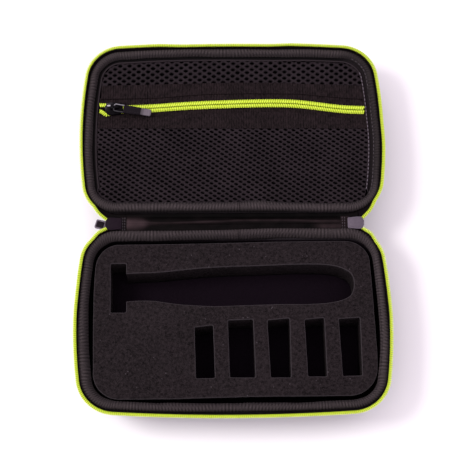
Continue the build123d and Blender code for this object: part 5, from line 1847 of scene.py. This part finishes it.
def build_pocket_slider():
    turn = math.asin((PS_X - ARC_X) / ARC_R)
    py = ARC_Y - ARC_R + math.sqrt(ARC_R ** 2 - (PS_X - ARC_X) ** 2)
    ca, sa = math.cos(-turn), math.sin(-turn)

    def place(p):
        # local x runs along the zip; the mouth (local +x in the plate outline) faces left
        x, y = -p[0], -p[1]
        return (PS_X + x * ca - y * sa, py + x * sa + y * ca, p[2])
    soup = Soup()
    # painted highlight weight on the plate, growing towards the mouth end and one side
    shine = lambda a, b: 0.16 * smooth01((a + 1) / 6) * smooth01((-b + 2.5) / 4)
    prism(soup, shield(14.4, 5.25, 4.2, 3.2), 33.35, 34.4, 0.36, place, worn=shine)
    prism(soup, shield(11.0, 3.9, 3.0, 2.4), 34.3, 34.62, 0.16, place, worn=lambda a, b: 0.25 * shine(a, b))
    # a small raised nub with a painted highlight over all its top
    prism(soup, rect(2.6, 5.3, -3.3, -1.9, 0.55), 34.5, 34.86, 0.16, place, worn=lambda a, b: 1.0, top=1.0)
    prism(soup, shield(13.4, 4.5, 3.8, 3.0), 28.75, 29.75, 0.3, place)
    for sd in (-1, 1):
        prism(soup, rect(-5.6, 3.6, sd * 4.45 - 0.55, sd * 4.45 + 0.55, 0.45), 31.4, 33.6, 0.2, place)
    prism(soup, round_polygon(np.array([(2.6, 0), (4.4, -1.0), (6.0, -0.8), (6.0, 0.8), (4.4, 1.0)]), 0.35, 0.4), 29.5, 33.6, 0.05, place)

    def place_arch(p):
        return place((p[0] - 0.4, p[1], p[2]))
    arch(soup, 6.9, 3.35, 34.2, 2.1, 0.85, place_arch)
    soup.obj("pocket_slider_body", "enamel", body="pocket_slider", slot="slider_black", replaces=("pocket_slider",), sharp=40)

    # pull: wire loop, strap and moulded tip, in the pull's own plane
    yaw = math.radians(-11.0)
    o = Vector((PS_X + 0.4 * ca, py + 0.4 * sa, 36.3))
    dx, dy = Vector((math.cos(yaw), math.sin(yaw), 0)), Vector((-math.sin(yaw), math.cos(yaw), 0))

    def pl(p):
        q = o + dx * p[0] + dy * p[1] + Vector((0, 0, p[2]))
        return (q.x, q.y, q.z)

    def pl2(p):
        # the strap turns a little on the wire
        t = math.radians(1.8)
        a, b = p[0] - 8.9, p[1]
        return pl((8.9 + a * math.cos(t) - b * math.sin(t), a * math.sin(t) + b * math.cos(t), p[2]))
    # wire: a rounded rectangle with a narrow end through the arch
    loop = rect(-0.25, 8.9, -3.0, 3.0, 1.5, 8)
    W = np.array([pl((a, b, 0.0)) for a, b in loop])
    T, S, B = frames(W, closed=True)
    q = np.arange(8) * math.pi / 4
    ringp = W[:, None] + 0.55 * (np.cos(q)[None, :, None] * S[:, None] + np.sin(q)[None, :, None] * B[:, None])
    soup = Soup()
    # painted glints along the wire's upper side, stronger on one long side, none under the strap
    wq = (np.clip(np.sin(q), 0, 1) ** 3)[None, :] * (0.12 + 0.55 * (loop[:, 1] > 0.5))[:, None] * (loop[:, 0] < 8.2)[:, None]
    soup.grid(ringp, cu=True, cv=True, caps=False, attrs={"worn": wq.ravel()})
    soup.obj("pocket_pull_wire", "enamel", body="pocket_pull", slot="wire", replaces=("pocket_pull_loop",))
    # strap folded over the wire
    xs = np.linspace(7.5, 21.6, 32)
    ys = np.linspace(-2.8, 2.8, 9)
    X, Y = np.meshgrid(xs, ys, indexing="ij")
    Y = Y * (1.2 - 0.09 * smooth01((X - 12) / 8))
    th = 0.62 + 0.25 * np.exp(-((X - 8.9) / 0.9) ** 2)
    th = np.where(X < 8.0, th * np.sqrt(np.clip((X - 7.5) / 0.5 + 0.08, 0, 1)), th)
    crown = 0.1 * (1 - (Y / 3.4) ** 2)
    top = np.stack([X, Y, th + crown], -1)
    bot = np.stack([X, Y, -th - crown], -1)[:, ::-1]
    L = np.concatenate([top, bot], 1)
    P = np.array([pl2(p) for p in L.reshape(-1, 3)]).reshape(L.shape)
    soup = Soup()
    soup.grid(P, U=xs, V=np.r_[ys, ys[-1] + 0.5 + ys - ys[0]])
    soup.obj("pocket_pull_strap", "strap", body="pocket_pull", slot="pull_strap", replaces=("pocket_pull_tab",), sharp=50)
    th = Soup()
    for y in (-1.9, 1.9):
        q = np.array([pl2((x, y, 0.70 + 0.05)) for x in np.linspace(10.2, 20.6, 60)])
        stitches(th, q, np.tile([0.0, 0, 1], (60, 1)), 1.8, 1.3, 0.14, 0.08)
    th.obj("pocket_pull_stitches", "thread", body="pocket_pull", slot="pull_strap")
    # tip: soft plastic moulded round the strap's end, with three grooves
    soup = Soup()
    xs = np.linspace(21.2, 30.0, 34)
    nv = 20
    a = np.arange(nv) * 2 * math.pi / nv
    rows = []
    for x in xs:
        f = (x - 21.2) / 8.8
        hw = 2.95 * (1 - 0.06 * (1 - f)) * math.sqrt(min(1, 0.35 + (1 - f) * 9)) * math.sqrt(min(1, 0.3 + f * 10))
        hh = 0.84 * math.sqrt(min(1, 0.12 + (1 - f) * 7)) * math.sqrt(min(1, 0.25 + f * 8))
        for g in (24.2, 25.9, 27.6):
            hh -= 0.22 * math.exp(-((x - g) / 0.32) ** 2)
        ca_, sa_ = np.cos(a), np.sin(a)
        y = np.sign(ca_) * np.abs(ca_) ** 0.45 * hw
        z = np.sign(sa_) * np.abs(sa_) ** 0.6 * hh
        rows.append([pl2((x, yy, zz)) for yy, zz in zip(y, z)])
    # painted shade at the strap end of the tip, lighter towards its far end
    soup.grid(np.array(rows), attrs={"tone": np.repeat(0.3 + 0.9 * smooth01((xs - 20.5) / 5.5), nv)})
    soup.obj("pocket_pull_grip", "tip", body="pocket_pull", slot="pull_tip", replaces=("pocket_pull_tip",), sharp=50)


# ================================================================ scene
def build_stage():
    me = bpy.data.meshes.new("studio_floor")
    s = 6.0
    me.from_pydata([(-s, -s, -0.0002), (s, -s, -0.0002), (s, s, -0.0002), (-s, s, -0.0002)], [], [(0, 1, 2, 3)])
    ob = bpy.data.objects.new("studio_floor", me)
    bpy.context.scene.collection.objects.link(ob)
    me.materials.append(MATS["floor"])

    world = bpy.data.worlds.new("studio")
    bpy.context.scene.world = world
    world.use_nodes = True
    bg = world.node_tree.nodes["Background"]
    bg.inputs[0].default_value = (1.0, 0.95, 1.01, 1)
    bg.inputs[1].default_value = 1.12

    def area_light(name, at, to, size, energy, color=(1, 1, 1)):
        d = bpy.data.lights.new(name, "AREA")
        d.shape = "SQUARE"
        d.size = size
        d.energy = energy
        d.color = color
        o = bpy.data.objects.new(name, d)
        bpy.context.scene.collection.objects.link(o)
        o.location = at
        o.rotation_euler = (Vector(to) - Vector(at)).to_track_quat("-Z", "Y").to_euler()
        return o

    area_light("key", (-2.0, 0.12, 2.2), (0, 0, 0), 1.1, 54, (1.0, 1.03, 0.97))

    cam = bpy.data.cameras.new("camera")
    cam.sensor_fit = "HORIZONTAL"
    cam.sensor_width = 36.0
    cam.lens = 1400.12 * 36.0 / 470.0
    cam.clip_start, cam.clip_end = 0.05, 20
    co = bpy.data.objects.new("camera", cam)
    bpy.context.scene.collection.objects.link(co)
    r0 = Vector((0.99991562, -0.00821526, 0.01006309))
    r1 = Vector((-0.00460122, -0.94839761, -0.31705016))
    r2 = Vector((0.01214846, 0.31697711, -0.94835538))
    m = Matrix.Identity(4)
    for i in range(3):
        m[i][0], m[i][1], m[i][2] = r0[i], -r1[i], -r2[i]
    m[0][3], m[1][3], m[2][3] = -0.011445, -0.358065, 1.074889
    co.matrix_world = m
    bpy.context.scene.camera = co
    bpy.context.scene.view_settings.view_transform = "Standard"
    bpy.context.scene.view_settings.look = "None"


build_stage()
build_shells()
build_bindings()
build_rim_zip()
build_foam()
build_pocket()
build_spine()
build_sliders()
build_pocket_slider()
